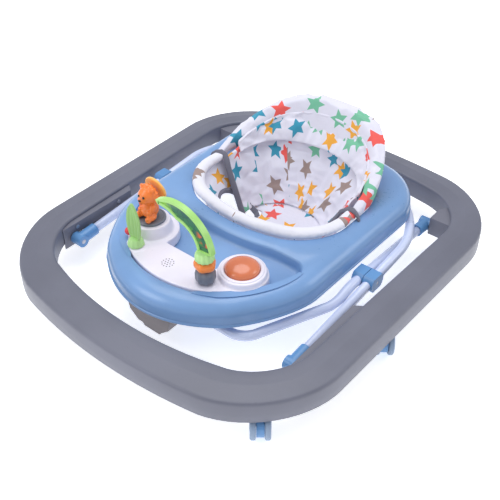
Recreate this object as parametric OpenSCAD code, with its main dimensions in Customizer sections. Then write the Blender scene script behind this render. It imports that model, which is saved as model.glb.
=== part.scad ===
// Baby walker: a wheeled base ring, two crossed leg frames and a tray with a fabric seat.
// Front is -Y, right is +X, the floor is z = 0. All sizes are in millimetres.
// The model stands in its lowest position; the legs lift the tray from there.

/* [Base ring] */
// Length of the base ring, front to rear
ring_length = 700; // [690:1:860]
// Half width of the ring at its front corners
ring_half_front = 296; // [292:1:360]
// Half width of the ring at its rear corners
ring_half_rear = 314; // [306:1:380]
// How far the front edge bows out
ring_bulge_front = 50; // [20:1:60]
// How far the rear edge bows out
ring_bulge_rear = 36; // [20:1:50]
// Corner radius at the front
ring_radius_front = 122; // [90:1:150]
// Corner radius at the rear
ring_radius_rear = 132; // [100:1:160]
// Width of the ring's top band
band_width = 54; // [50:1:60]
// Width of the flat inner strip of the band
flat_width = 25; // [15:1:35]
// Height of the flat strip above the floor
ring_top = 84; // [82:1:96]
// Drop from the flat strip to the outer edge
band_slope = 4; // [2:1:8]
// Height of the outer wall's lower edge
wall_bottom = 44; // [43:1:50]
// Height of the inner wall's lower edge
inner_wall_bottom = 48; // [46:1:54]
// Wall thickness of the ring moulding
ring_skin = 3.5; // [2.5:0.1:4.5]

/* [Casters] */
// Radius of the twin wheels
wheel_r = 21; // [15:0.5:21]
// Width of one wheel
wheel_w = 9; // [6:0.5:12]
// Distance from the swivel axis back to the axle
caster_trail = 13; // [8:0.5:18]
// Thickness of the hood between the wheels
hood_w = 11; // [9:0.5:16]
// Radius of the swivel stem
stem_r = 5; // [4:0.5:6]
// Length of the stem in its socket
stem_length = 22; // [14:1:24]
// Radius of the wheel axle
axle_r = 2.5; // [2:0.1:3.5]

/* [Leg frames] */
// Outer radius of the leg tubes
tube_r = 8; // [6:0.5:9]
// Wall thickness of the leg tubes
tube_wall = 1.2; // [0.8:0.1:2]
// Distance from the cross pivot to each leg's end pivot
leg_half = 206.7; // [190:0.1:210]
// Angle of the legs to the floor in the lowest position
leg_angle = 4.72; // [4:0.01:6]
// Largest turn of each leg frame from the lowest position
leg_lift = 38; // [20:1:40]
// Position of the cross pivot, rearwards of the middle
cross_y = 18; // [10:1:26]
// Height of the cross pivot
cross_z = 70; // [68:1:74]
// Height of the rear crossbar that carries the tray
rear_bar_z = 67; // [65:1:68]
// Height of the front crossbar under the tray
front_bar_z = 60; // [58:1:64]
// Distance that the front crossbar sits behind the tray's front edge
front_bar_inset = 65; // [60:1:75]
// Distance from each bend's corner to where the tube is straight again
bend_reach = 22; // [16:1:28]
// Radius of the pins at the leg ends
leg_pin_r = 4; // [3:0.5:5]
// Wall thickness of the caps and clamps on the tubes
cap_wall = 2.5; // [2:0.1:3]

/* [Tray] */
// Half width of the tray near its front corners
tray_half_front = 188; // [180:1:196]
// Half width of the tray near its rear corners
tray_half_rear = 196; // [190:1:204]
// Distance of the tray's front edge ahead of the middle
tray_front = 265; // [255:1:272]
// Distance of the tray's rear edge behind the middle
tray_rear = 278; // [268:1:282]
// Height of the tray's lower lip
lip_bottom = 80; // [79:1:82]
// Height of the tray's top face
tray_top = 119; // [116:1:126]
// Wall thickness of the tray
tray_skin = 3; // [2:0.1:4]
// Depth of the play basin
basin_depth = 19; // [14:1:22]
// Width of the bridge between basin and seat opening
bridge_width = 27; // [20:1:34]

/* [Seat] */
// Half width of the seat opening
seat_half = 148; // [130:1:152]
// Distance of the seat opening's front edge ahead of the middle
seat_front = 51; // [30:1:56]
// Distance of the seat opening's rear edge behind the middle
seat_rear = 218; // [200:1:220]
// Height of the seat's lowest point
seat_bottom = 22; // [16:1:40]
// Thickness of the padded seat fabric
fabric = 6; // [3:0.5:10]
// Radius of the leg holes
leg_hole_r = 42; // [32:1:46]
// Height of the backrest's top edge
back_top = 218; // [180:1:240]
// How far the backrest leans back over its height
back_lean = 40; // [20:1:50]
// Thickness of the backrest pad
back_pad = 17; // [12:1:22]

/* [Toys] */
// Height of the toy panel above the basin floor
panel_height = 19; // [16:1:26]
// Wall thickness of the toy panel
panel_skin = 2.5; // [2:0.1:3.5]
// Radius of the dome button
dome_r = 26; // [20:0.5:28]
// Press travel of the dome button
dome_travel = 4; // [2:0.5:6]
// Radius of the turntable disc
turntable_r = 24; // [18:1:28]
// Outer radius of the toy arch
arch_r = 68; // [60:1:72]
// Width of the arch band
arch_band = 27; // [20:1:30]
// Thickness of the arch
arch_thick = 9; // [6:0.5:12]
// Pull travel of the height release
release_travel = 8; // [5:0.5:10]

/* [Fits] */
// Radial running clearance of pins in their bores
run_fit = 0.05; // [0.02:0.01:0.1]
// Gap between parts that move past each other
move_gap = 1.5; // [1:0.1:2]
// Gap between parts that only lie beside each other
rest_gap = 0.4; // [0.3:0.1:1]

/* [Hidden] */
eps = 0.5;
round_fn = 64;

// An outline is [front half width, rear half width, front y, rear y,
// front bulge, rear bulge, front corner radius, rear corner radius].
ring_shape = [ring_half_front, ring_half_rear, -ring_length / 2, ring_length / 2,
              ring_bulge_front, ring_bulge_rear, ring_radius_front, ring_radius_rear];
tray_shape = [tray_half_front, tray_half_rear, -tray_front, tray_rear, 118, 43, 66, 78];
seat_shape = [seat_half - 1, seat_half, -seat_front, seat_rear, 40, 40, 60, 70];
basin_inset = 39;
basin_half = tray_half_front - 31;
basin_shape = [basin_half, basin_half, -tray_front + basin_inset, -seat_front - 14, 75, 2, 60, 20];
basin_fit = 2;

function blend_arc(p, c, q, n) = [for (i = [1:n]) let (t = i / n, u = 1 - t, w = sqrt(2) * t * u)
    (u * u * p + w * c + t * t * q) / (u * u + w + t * t)];
function half_outline(s, inset) = let (
    wf = s[0] - inset, wr = s[1] - inset, yf = s[2] + inset, yr = s[3] - inset,
    rf = max(s[6] - inset, 4), rr = max(s[7] - inset, 4), n = 7,
    front = [for (i = [0:n]) let (k = i / n * (1 - rf / wf)) [k * wf, yf + s[4] * k * k]],
    rear = [for (i = [n:-1:0]) let (k = i / n * (1 - rr / wr)) [k * wr, yr - s[5] * k * k]],
    c0 = [wf, yf + s[4]], c1 = [wr, yr - s[5]], d = (c1 - c0) / norm(c1 - c0))
    concat(front, blend_arc(front[n], c0, c0 + d * rf, 10), [c1 - d * rr],
           blend_arc(c1 - d * rr, c1, rear[0], 10), [for (i = [1:n]) rear[i]]);
function outline(s, inset = 0) = let (h = half_outline(s, inset), m = len(h))
    concat(h, [for (i = [m - 2:-1:1]) [-h[i].x, h[i].y]]);

// A wall that follows an outline; its section is a closed loop of [inset, height].
module outline_wall(s, section) {
    n = len(outline(s));
    m = len(section);
    polyhedron(
        [for (p = section) each [for (q = outline(s, p[0])) [q.x, q.y, p[1]]]],
        [for (j = [0:m - 1], i = [0:n - 1]) let (a = j * n + i, b = (j + 1) % m * n + i,
            c = (j + 1) % m * n + (i + 1) % n, d = j * n + (i + 1) % n) each [[a, b, c], [a, c, d]]],
        convexity = 8);
}
// A solid stack of outlines; its side is a list of [inset, height], lowest first.
module outline_stack(s, side) {
    n = len(outline(s));
    m = len(side);
    polyhedron(
        [for (p = side) each [for (q = outline(s, p[0])) [q.x, q.y, p[1]]]],
        concat([for (j = [0:m - 2], i = [0:n - 1]) let (a = j * n + i, b = a + n,
            c = (j + 1) * n + (i + 1) % n, d = j * n + (i + 1) % n) each [[a, b, c], [a, c, d]]],
            [[for (i = [0:n - 1]) i]], [[for (i = [n - 1:-1:0]) (m - 1) * n + i]]),
        convexity = 4);
}
module outline_plate(s, inset, z0, z1) {
    translate([0, 0, z0]) linear_extrude(z1 - z0) polygon(outline(s, inset));
}
module both_sides() {
    children();
    mirror([1, 0, 0]) children();
}
module x_cylinder(x0, x1, y, z, r) {
    translate([x0, y, z]) rotate([0, 90, 0]) cylinder(h = x1 - x0, r = r, $fn = round_fn);
}
function mirrored(half) = concat(half, [for (i = [len(half) - 1:-1:0])
    [-half[i].x, half[i].y, half[i].z]]);

// Ring section and the straight inner side wall.
band_edge = ring_top - band_slope;
wall_start_y = -ring_length / 2 + ring_bulge_front;
wall_end_y = ring_length / 2 - ring_bulge_rear;
function inner_wall_x(y) = ring_half_front - band_width
    + (y - wall_start_y) * (ring_half_rear - ring_half_front) / (wall_end_y - wall_start_y);

// Leg geometry: the end pivots lie on one level, the cross pivot between them.
leg_run = leg_half * cos(leg_angle);
leg_rise = leg_half * sin(leg_angle);
pin_y = cross_y - leg_run;
pivot_y = cross_y + leg_run;
pivot_z = cross_z - leg_rise;
tray_half_max = max(tray_half_front, tray_half_rear);
inner_leg_x = tray_half_max - move_gap + cap_wall + tube_r + 1;
outer_leg_x = inner_leg_x + 2 * tube_r + 1;
cap_r = tube_r + cap_wall;
rail_face_x = outer_leg_x + cap_r + move_gap;
bracket_face_x = inner_leg_x + cap_r + move_gap;
pin_travel = 2 * leg_half * (cos(leg_angle) - cos(leg_angle + leg_lift));
slot_gap = 1;
cap_front = 12;
cap_length = 46;
front_bar_y = -tray_front + front_bar_inset;
along = [0, cos(leg_angle), sin(leg_angle)];
down = [0, cos(leg_angle), -sin(leg_angle)];
cross_inner = [inner_leg_x, cross_y, cross_z];
cross_outer = [outer_leg_x, cross_y, cross_z];
bar_end = 12;
clamp_length = 34;
// The front frame's tube passes over the rear frame's tube before it turns in to its crossbar.
over_leg = 104;
over_gap = 1;
over_y = pivot_y - 56;
over_z = cross_z - (over_y - cross_y) * tan(leg_angle) + 2 * tube_r + over_gap;
turn_in_y = pivot_y - 28;
front_path = mirrored([
    cross_outer - along * (leg_half - bar_end), cross_outer + along * over_leg,
    [inner_leg_x - 3, over_y, over_z], [tray_half_max - tube_r, turn_in_y, rear_bar_z + 0.5],
    [tray_half_max - 30, pivot_y, rear_bar_z]]);
rear_path = mirrored([
    cross_inner + down * (leg_half - bar_end), cross_inner - down * (clamp_length / 2 + bend_reach),
    [inner_leg_x, cross_y - 72, front_bar_z + 2], [inner_leg_x - 64, front_bar_y, front_bar_z]]);

// Path of the front crossbar in the tray as the legs lift.
function turn_up(v, a) = [v[0] * cos(a) + v[1] * sin(a), -v[0] * sin(a) + v[1] * cos(a)];
function turn_down(v, a) = [v[0] * cos(a) - v[1] * sin(a), v[0] * sin(a) + v[1] * cos(a)];
rear_arm = [pivot_y - cross_y, rear_bar_z - cross_z];
bar_arm = [front_bar_y - cross_y, front_bar_z - cross_z];
function bar_in_tray(a) = [pivot_y, rear_bar_z] + turn_up(bar_arm, a) - turn_down(rear_arm, a);
bar_low = bar_in_tray(0);
bar_high = bar_in_tray(leg_lift);

// Tray heights and seat heights.
basin_floor = tray_top - basin_depth;
tub_bottom = basin_floor - tray_skin;
under_top = tray_top - tray_skin;
roll_width = 23;
roll_top = tray_top + 10;
back_start_y = 80;

// Caster places along the middle of the band: [x, y, resting heading].
band_mid = band_width / 2;
band_line = half_outline(ring_shape, band_mid);
front_place = band_line[11];
rear_place = band_line[24];
mid_caster_y = -28;
mid_caster_x = inner_wall_x(mid_caster_y) + band_mid;
caster_places = [
    [-front_place.x, front_place.y, 205], [front_place.x, front_place.y, 219],
    [-mid_caster_x, mid_caster_y, 230], [mid_caster_x, mid_caster_y, 217],
    [-rear_place.x, rear_place.y, 212], [rear_place.x, rear_place.y, 224]];
socket_r = 9;
hood_top = wall_bottom + 2;
flange_top = hood_top + 3;
stem_top = flange_top + stem_length;

// Toy places on the panel.
panel_floor = basin_floor + rest_gap;
panel_top = basin_floor + panel_height;
boss_top = panel_top + 2;
table_x = -87;
table_y = -146;
table_pod_r = 44;
table_top = panel_top + 21;
dome_x = 94;
dome_y = -141;
dome_pod_r = 40;
dome_base = panel_top + 9;
dome_high = 12;
post_x = 65;
post_y = -189;
post_r = 4;
leaf_x = -74;
leaf_y = -193;
bead_x = -98;
bead_y = -184;
arch_x = post_x - arch_r + arch_band / 2 + 4;
arch_z = 171;

module base_ring() {
    s = ring_skin;
    crease = band_width - flat_width;
    color("#85858f") outline_wall(ring_shape, [
        [0, wall_bottom], [0, band_edge - 5], [1.5, band_edge - 1.5], [5, band_edge],
        [crease, ring_top], [band_width - 2, ring_top], [band_width, ring_top - 2],
        [band_width, inner_wall_bottom], [band_width - s, inner_wall_bottom],
        [band_width - s, ring_top - s], [crease, ring_top - s], [6, band_edge - s],
        [s, band_edge - s - 3], [s, wall_bottom]]);
}

rail_front_y = pin_y - 22;
rail_rear_y = pin_y + pin_travel + 24;
rail_top = ring_top - 6;
rail_bottom = pivot_z - 14;
slot_r = leg_pin_r + slot_gap;
slot_bite = 5;
screw_r = 2;
rail_screw_z = rail_top - 8;
module slide_rail() {
    color("#74747f") difference() {
        translate([0, 0, rail_bottom]) linear_extrude(rail_top - rail_bottom) intersection() {
            polygon([[rail_face_x, rail_front_y], [rail_face_x, rail_rear_y],
                     [inner_wall_x(rail_rear_y) + eps, rail_rear_y + 10],
                     [inner_wall_x(rail_rear_y) + eps, rail_front_y]]);
            polygon(outline(ring_shape, band_width - eps));
        }
        // long slot for the leg pin
        translate([rail_face_x - 1, pin_y - slot_gap, pivot_z - slot_r])
            cube([inner_wall_x(rail_rear_y) - rail_face_x + 6, pin_travel + 2 * slot_gap, 2 * slot_r]);
        for (y = [pin_y - slot_gap, pin_y + pin_travel + slot_gap])
            x_cylinder(rail_face_x - 1, inner_wall_x(rail_rear_y) + 5, y, pivot_z, slot_r);
        // screw holes
        for (y = [rail_front_y + 30, rail_rear_y - 30])
            x_cylinder(rail_face_x - 1, inner_wall_x(rail_rear_y) + 5, y, rail_screw_z, screw_r + run_fit);
    }
}
module slide_rail_left() { mirror([1, 0, 0]) slide_rail(); }
module slide_rail_right() { slide_rail(); }

screw_head_r = 3.6;
module rail_screws() {
    color("#50525a") both_sides() for (y = [rail_front_y + 30, rail_rear_y - 30]) {
        x_cylinder(rail_face_x - 1.2, rail_face_x, y, rail_screw_z, screw_head_r);
        x_cylinder(rail_face_x, inner_wall_x(y) - 3, y, rail_screw_z, screw_r);
    }
}

bracket_front_y = pivot_y - 14;
bracket_rear_y = pivot_y + 30;
bracket_bottom = max(2 * wheel_r, pivot_z - 2 * leg_pin_r - 2) + 1;
module rear_bracket() {
    color("#74747f") difference() {
        translate([0, 0, bracket_bottom]) linear_extrude(rail_top - bracket_bottom) intersection() {
            polygon([[bracket_face_x, bracket_front_y], [bracket_face_x, bracket_rear_y - 12],
                     [bracket_face_x + 10, bracket_rear_y], [ring_half_rear, bracket_rear_y],
                     [ring_half_rear, bracket_front_y]]);
            polygon(outline(ring_shape, band_width - eps));
        }
        x_cylinder(bracket_face_x - 1, bracket_face_x + 15, pivot_y, pivot_z, leg_pin_r + run_fit);
    }
}
module rear_bracket_left() { mirror([1, 0, 0]) rear_bracket(); }
module rear_bracket_right() { rear_bracket(); }

module caster_sockets() {
    color("#74747f") for (p = caster_places) translate([p[0], p[1], flange_top + rest_gap])
        difference() {
            cylinder(h = ring_top - ring_skin + eps - flange_top - rest_gap, r = socket_r, $fn = round_fn);
            translate([0, 0, -eps]) cylinder(h = stem_length + 2 * eps, r = stem_r + run_fit, $fn = round_fn);
        }
}

pad_length = 70;
pad_width = 9;
pad_drop = 2.5;
pad_x = 90;
module friction_pads() {
    inner = ring_skin - eps;
    color("#3a3b40") for (x = [-pad_x, pad_x]) for (side = [-1, 1]) {
        bow = (side < 0 ? ring_bulge_front : ring_bulge_rear) * pow(x / 270, 2);
        edge = side * (ring_length / 2 - bow - inner - 6 - pad_width / 2);
        translate([x - pad_length / 2, edge - pad_width / 2, wall_bottom - pad_drop])
            cube([pad_length, pad_width, band_edge - 1 - wall_bottom + pad_drop]);
    }
}

module caster(i) {
    p = caster_places[i];
    color("#5b8fc6") translate([p[0], p[1], 0]) rotate([0, 0, p[2]]) difference() {
        union() {
            translate([0, 0, hood_top - 1]) cylinder(h = stem_top - hood_top, r = stem_r, $fn = round_fn);
            translate([0, 0, hood_top - 6]) cylinder(h = 9, r = socket_r - 1, $fn = round_fn);
            translate([-hood_w / 2, 0, wheel_r])
                cube([hood_w, caster_trail, hood_top - 2 - wheel_r]);
            x_cylinder(-hood_w / 2, hood_w / 2, caster_trail, wheel_r, wheel_r - 4);
            translate([-hood_w / 2, -7, wheel_r + 6]) cube([hood_w, 8, hood_top - 8 - wheel_r]);
        }
        x_cylinder(-hood_w, hood_w, caster_trail, wheel_r, axle_r + run_fit);
    }
}
module wheels(i) {
    p = caster_places[i];
    inner = hood_w / 2 + 0.6;
    color("#8fa4c0") translate([p[0], p[1], 0]) rotate([0, 0, p[2]]) {
        x_cylinder(-inner - 2, inner + 2, caster_trail, wheel_r, axle_r);
        both_sides() translate([inner, caster_trail, wheel_r]) rotate([0, 90, 0])
            rotate_extrude($fn = 96) polygon([
                [0, 1], [wheel_r - 2, 0], [wheel_r, 1.5], [wheel_r, wheel_w - 2.5],
                [wheel_r - 2, wheel_w - 0.5], [wheel_r - 5, wheel_w - 1], [5, wheel_w], [0, wheel_w]]);
    }
}

// The tubes are swept along their centre lines, with rounded bends.
function unit(v) = v / norm(v);
// A bend takes its full reach, or just under half of the shorter straight beside it.
function bent_path(p, reach) = let (last = len(p) - 1) concat([p[0]],
    [for (i = [1:last - 1]) let (
        r = min(reach, 0.47 * norm(p[i] - p[i - 1]), 0.47 * norm(p[i + 1] - p[i])),
        a = p[i] - unit(p[i] - p[i - 1]) * r,
        b = p[i] + unit(p[i + 1] - p[i]) * r) each concat([a], blend_arc(a, p[i], b, 5))],
    [p[last]]);
function ring_at(path, i, r, n) = let (last = len(path) - 1,
    dir = unit(path[min(i + 1, last)] - path[max(i - 1, 0)]),
    side = unit(cross(dir, [0, 0, 1])), top = cross(side, dir))
    [for (k = [0:n - 1]) path[i] + r * (cos(360 * k / n) * side + sin(360 * k / n) * top)];
module leg_tube(points) {
    path = bent_path(points, bend_reach);
    n = 24;
    last = len(path) - 1;
    inside = (last + 1) * n;
    polyhedron(
        [for (r = [tube_r, tube_r - tube_wall], i = [0:last]) each ring_at(path, i, r, n)],
        concat(
            [for (i = [0:last - 1], k = [0:n - 1]) let (a = i * n + k, b = i * n + (k + 1) % n)
                each [[a, b + n, a + n], [a, b, b + n]]],
            [for (i = [0:last - 1], k = [0:n - 1]) let (a = inside + i * n + k,
                b = inside + i * n + (k + 1) % n) each [[a, a + n, b + n], [a, b + n, b]]],
            [for (k = [0:n - 1]) let (b = (k + 1) % n)
                each [[k, inside + b, b], [k, inside + k, inside + b]]],
            [for (k = [0:n - 1]) let (a = last * n + k, b = last * n + (k + 1) % n)
                each [[a, b, inside + b], [a, inside + b, inside + a]]]),
        convexity = 8);
}
cross_pin_r = 3;
module pin_holes(x) {
    both_sides() x_cylinder(x - 2 * tube_r, x + 2 * tube_r, cross_y, cross_z, cross_pin_r + run_fit);
}
module rear_leg_tube() {
    color("#ccd6f2") difference() {
        leg_tube(rear_path);
        pin_holes(inner_leg_x);
    }
}
module front_leg_tube() {
    color("#ccd6f2") difference() {
        leg_tube(front_path);
        pin_holes(outer_leg_x);
    }
}

// A cap on a leg end; the pin crosses it ahead of the tube's end.
module leg_cap(x, y, tilt) {
    translate([x, y, pivot_z]) rotate([tilt, 0, 0]) difference() {
        union() {
            rotate([-90, 0, 0])
                cylinder(h = cap_length - cap_front, r = cap_r, $fn = round_fn);
            x_cylinder(-cap_r, cap_r, 0, 0, cap_r);
        }
        translate([0, bar_end - rest_gap, 0]) rotate([-90, 0, 0])
            cylinder(h = cap_length, r = tube_r + run_fit, $fn = round_fn);
        x_cylinder(-2 * cap_r, 2 * cap_r, 0, 0, leg_pin_r + run_fit);
    }
}
module front_leg_caps() {
    color("#5f93c4") both_sides() leg_cap(outer_leg_x, pin_y, leg_angle);
}
module rear_leg_caps() {
    color("#5f93c4") both_sides() translate([0, 2 * pivot_y, 0]) mirror([0, 1, 0])
        leg_cap(inner_leg_x, pivot_y, leg_angle);
}
module slot_pins() {
    color("#9a9ca6") both_sides()
        x_cylinder(outer_leg_x - cap_r, rail_face_x + slot_bite, pin_y, pivot_z, leg_pin_r);
}
module rear_pivot_pins() {
    color("#9a9ca6") both_sides()
        x_cylinder(inner_leg_x - cap_r, bracket_face_x + 14, pivot_y, pivot_z, leg_pin_r);
}

clamp_high = 13;
// One half of the cross clamp, round about its tube and about the cross pivot.
module clamp_half(x, tilt, tube_x) {
    difference() {
        x_cylinder(x, x + tube_r * 2 + cap_wall - 0.2, cross_y, cross_z, clamp_length / 2);
        translate([tube_x, cross_y, cross_z]) rotate([tilt, 0, 0]) rotate([90, 0, 0])
            cylinder(h = 2 * clamp_length, r = tube_r + run_fit, center = true, $fn = round_fn);
        for (side = [-1, 1]) translate([x - 1, cross_y - clamp_length, cross_z + side * (clamp_high + 10)])
            translate([0, 0, -10]) cube([3 * tube_r, 2 * clamp_length, 20]);
        x_cylinder(x - 1, x + 4 * tube_r, cross_y, cross_z, cross_pin_r + run_fit);
    }
}
module inner_clamps() {
    color("#5f93c4") both_sides()
        clamp_half(inner_leg_x - tube_r - cap_wall + 0.2, -leg_angle, inner_leg_x);
}
module outer_clamps() {
    color("#5f93c4") both_sides() clamp_half(outer_leg_x - tube_r, leg_angle, outer_leg_x);
}
module cross_pins() {
    color("#9a9ca6") both_sides()
        x_cylinder(inner_leg_x - tube_r, outer_leg_x + tube_r + cap_wall - 0.5,
                   cross_y, cross_z, cross_pin_r);
}

module basin_plan(grow) {
    difference() {
        polygon(outline(basin_shape, -grow));
        polygon(outline(seat_shape, grow - bridge_width));
    }
}
module tray_shell() {
    t = tray_skin;
    color("#7fa6d6") difference() {
        union() {
            difference() {
                outline_stack(tray_shape, [[1.5, lip_bottom], [0, lip_bottom + 2], [1, lip_bottom + 5],
                    [1.5, tray_top - 20], [5, tray_top - 10], [12, tray_top - 4], [22, tray_top - 0.8],
                    [32, tray_top]]);
                outline_stack(tray_shape, [[t + 1.5, lip_bottom - 1], [t + 1.5, tray_top - 20],
                    [t + 5, tray_top - 10 - t], [t + 12, tray_top - 4 - t], [t + 22, tray_top - 1 - t],
                    [t + 32, under_top]]);
            }
            translate([0, 0, tub_bottom]) linear_extrude(under_top - tub_bottom + 1) basin_plan(t);
            outline_plate(seat_shape, -t, tray_top - 16, under_top + 1);
        }
        translate([0, 0, basin_floor]) linear_extrude(basin_depth + 1) basin_plan(0);
        outline_plate(seat_shape, 0, lip_bottom, tray_top + 1);
    }
}

bearing_x = 96;
bearing_w = 26;
bush_r = tube_r + 1.5;
bearing_r = bush_r + 3.5;
module bearing_bushes() {
    color("#d7dae6") both_sides() difference() {
        x_cylinder(bearing_x - bearing_w / 2 - 1, bearing_x + bearing_w / 2 + 1, pivot_y, rear_bar_z, bush_r);
        x_cylinder(0, 2 * bearing_x, pivot_y, rear_bar_z, tube_r + run_fit);
    }
}
module tray_bearings() {
    color("#7fa6d6") both_sides() difference() {
        union() {
            x_cylinder(bearing_x - bearing_w / 2, bearing_x + bearing_w / 2, pivot_y, rear_bar_z, bearing_r);
            translate([bearing_x - bearing_w / 2, pivot_y - bearing_r + 4, rear_bar_z])
                cube([bearing_w, 2 * bearing_r - 4, under_top - 1 - rest_gap - rear_bar_z]);
        }
        x_cylinder(0, 2 * bearing_x, pivot_y, rear_bar_z, bush_r + run_fit);
        translate([bearing_x, pivot_y + 6, under_top - 24])
            cylinder(h = 24 + eps, r = screw_r + run_fit, $fn = round_fn);
    }
}
module bearing_screws() {
    color("#50525a") both_sides() translate([bearing_x, pivot_y + 6, under_top - 22])
        cylinder(h = 21.2, r = screw_r, $fn = round_fn);
}

plate_x = 30;
plate_t = 5;
track_gap = 2.5;
track_r = tube_r + track_gap;
block_front_y = -tray_front + 17;
block_rear_y = front_bar_y - tube_r - 6;
block_bottom = 34;
tongue_half = 12;
tongue_w = 10;
tongue_y = block_rear_y - 3 - rest_gap - tongue_w;
module height_housing() {
    rise = atan2(bar_high[1] - bar_low[1], bar_high[0] - bar_low[0]);
    travel = norm(bar_high - bar_low);
    color("#77706f") difference() {
        union() {
            both_sides() translate([plate_x, block_rear_y - 2, bar_low[1] - track_r - 6])
                cube([plate_t, bar_high[0] + track_r + 8 - block_rear_y,
                      tub_bottom - rest_gap - bar_low[1] + track_r + 6]);
            translate([0, block_rear_y, 0]) rotate([90, 0, 0])
                linear_extrude(block_rear_y - block_front_y) polygon([
                    [-46, 76], [-40, 48], [-24, block_bottom], [24, block_bottom], [40, 48], [46, 76],
                    [46, tub_bottom - rest_gap], [-46, tub_bottom - rest_gap]]);
        }
        // inclined slot that the front crossbar slides along
        for (p = [bar_low, bar_high]) x_cylinder(-60, 60, p[0], p[1], track_r);
        translate([-60, bar_low[0], bar_low[1]]) rotate([rise, 0, 0])
            translate([0, 0, -track_r]) cube([120, travel, 2 * track_r]);
        // pocket for the release handle's tongue
        translate([-tongue_half - rest_gap, tongue_y - release_travel - rest_gap, block_bottom - 1])
            cube([2 * (tongue_half + rest_gap), tongue_w + release_travel + 2 * rest_gap, 14]);
    }
}
module release_handle() {
    color("#6a6465") {
        translate([0, block_rear_y - 4, 0]) rotate([90, 0, 0])
            linear_extrude(block_rear_y - block_front_y - 8) polygon([
                [-24, block_bottom - rest_gap], [-16, 23], [16, 23], [24, block_bottom - rest_gap]]);
        translate([-tongue_half, tongue_y, block_bottom - 2]) cube([2 * tongue_half, tongue_w, 13]);
    }
}

// The bucket narrows from the opening to the crotch; each leg hole cuts through one side.
bucket_top = tray_top - 1;
bucket_low = [82, 82, -14, 150, 12, 16, 50, 56];
leg_hole_x = 50;
leg_hole_y = 52;
leg_hole_z = seat_bottom + 5;
leg_hole_rise = 84;
leg_hole_yaw = -10;
module bucket_body(inset, z0) {
    hull() {
        outline_plate(seat_shape, inset + 8, bucket_top - 0.5, bucket_top);
        outline_plate(bucket_low, inset, z0, z0 + 0.5);
    }
}
module seat_bucket() {
    color("#e4e4ef") difference() {
        bucket_body(0, seat_bottom);
        translate([0, 0, eps]) bucket_body(fabric, seat_bottom + fabric);
        both_sides() translate([leg_hole_x, leg_hole_y, leg_hole_z]) rotate([0, leg_hole_rise, leg_hole_yaw])
            cylinder(h = 160, r = leg_hole_r, $fn = round_fn);
    }
}
module seat_rim_roll() {
    r = roll_width / 2 - 1;
    roll_mid = (bucket_top + roll_top + rest_gap) / 2;
    roll_high = (roll_top - bucket_top - rest_gap) / 2;
    color("#f0f0f6") intersection() {
        outline_wall(seat_shape, [for (k = [0:9]) let (a = 180 + 36 * k)
            [1 + r + r * cos(a), roll_mid - roll_high * sin(a)]]);
        translate([-300, -300, 0]) cube([600, 300 + back_start_y, 300]);
    }
}
module back_shell(inset) {
    hull() {
        outline_plate(seat_shape, inset, bucket_top + rest_gap, bucket_top + rest_gap + 0.5);
        translate([0, back_lean, 0]) outline_plate(seat_shape, inset, back_top - 0.5, back_top);
    }
}
module backrest_pad() {
    low = roll_top + 1;
    slope = (back_top - low) / (seat_rear + back_lean - back_start_y);
    color("#e9e9f2") difference() {
        back_shell(1);
        translate([0, 0, -eps]) back_shell(1 + back_pad);
        translate([0, 0, eps]) back_shell(1 + back_pad);
        translate([-300, -300, 0]) cube([600, 300 + back_start_y + rest_gap, 300]);
        translate([0, back_start_y, low]) rotate([atan(slope), 0, 0])
            translate([-300, -200, 0]) cube([600, 600, 200]);
    }
}
module seat_clips() {
    color("#d7dae6") both_sides() for (y = [-4, 60, 130])
        translate([seat_half + tray_skin + 1, y, lip_bottom + 18]) cube([5, 16, 12]);
}

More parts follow.
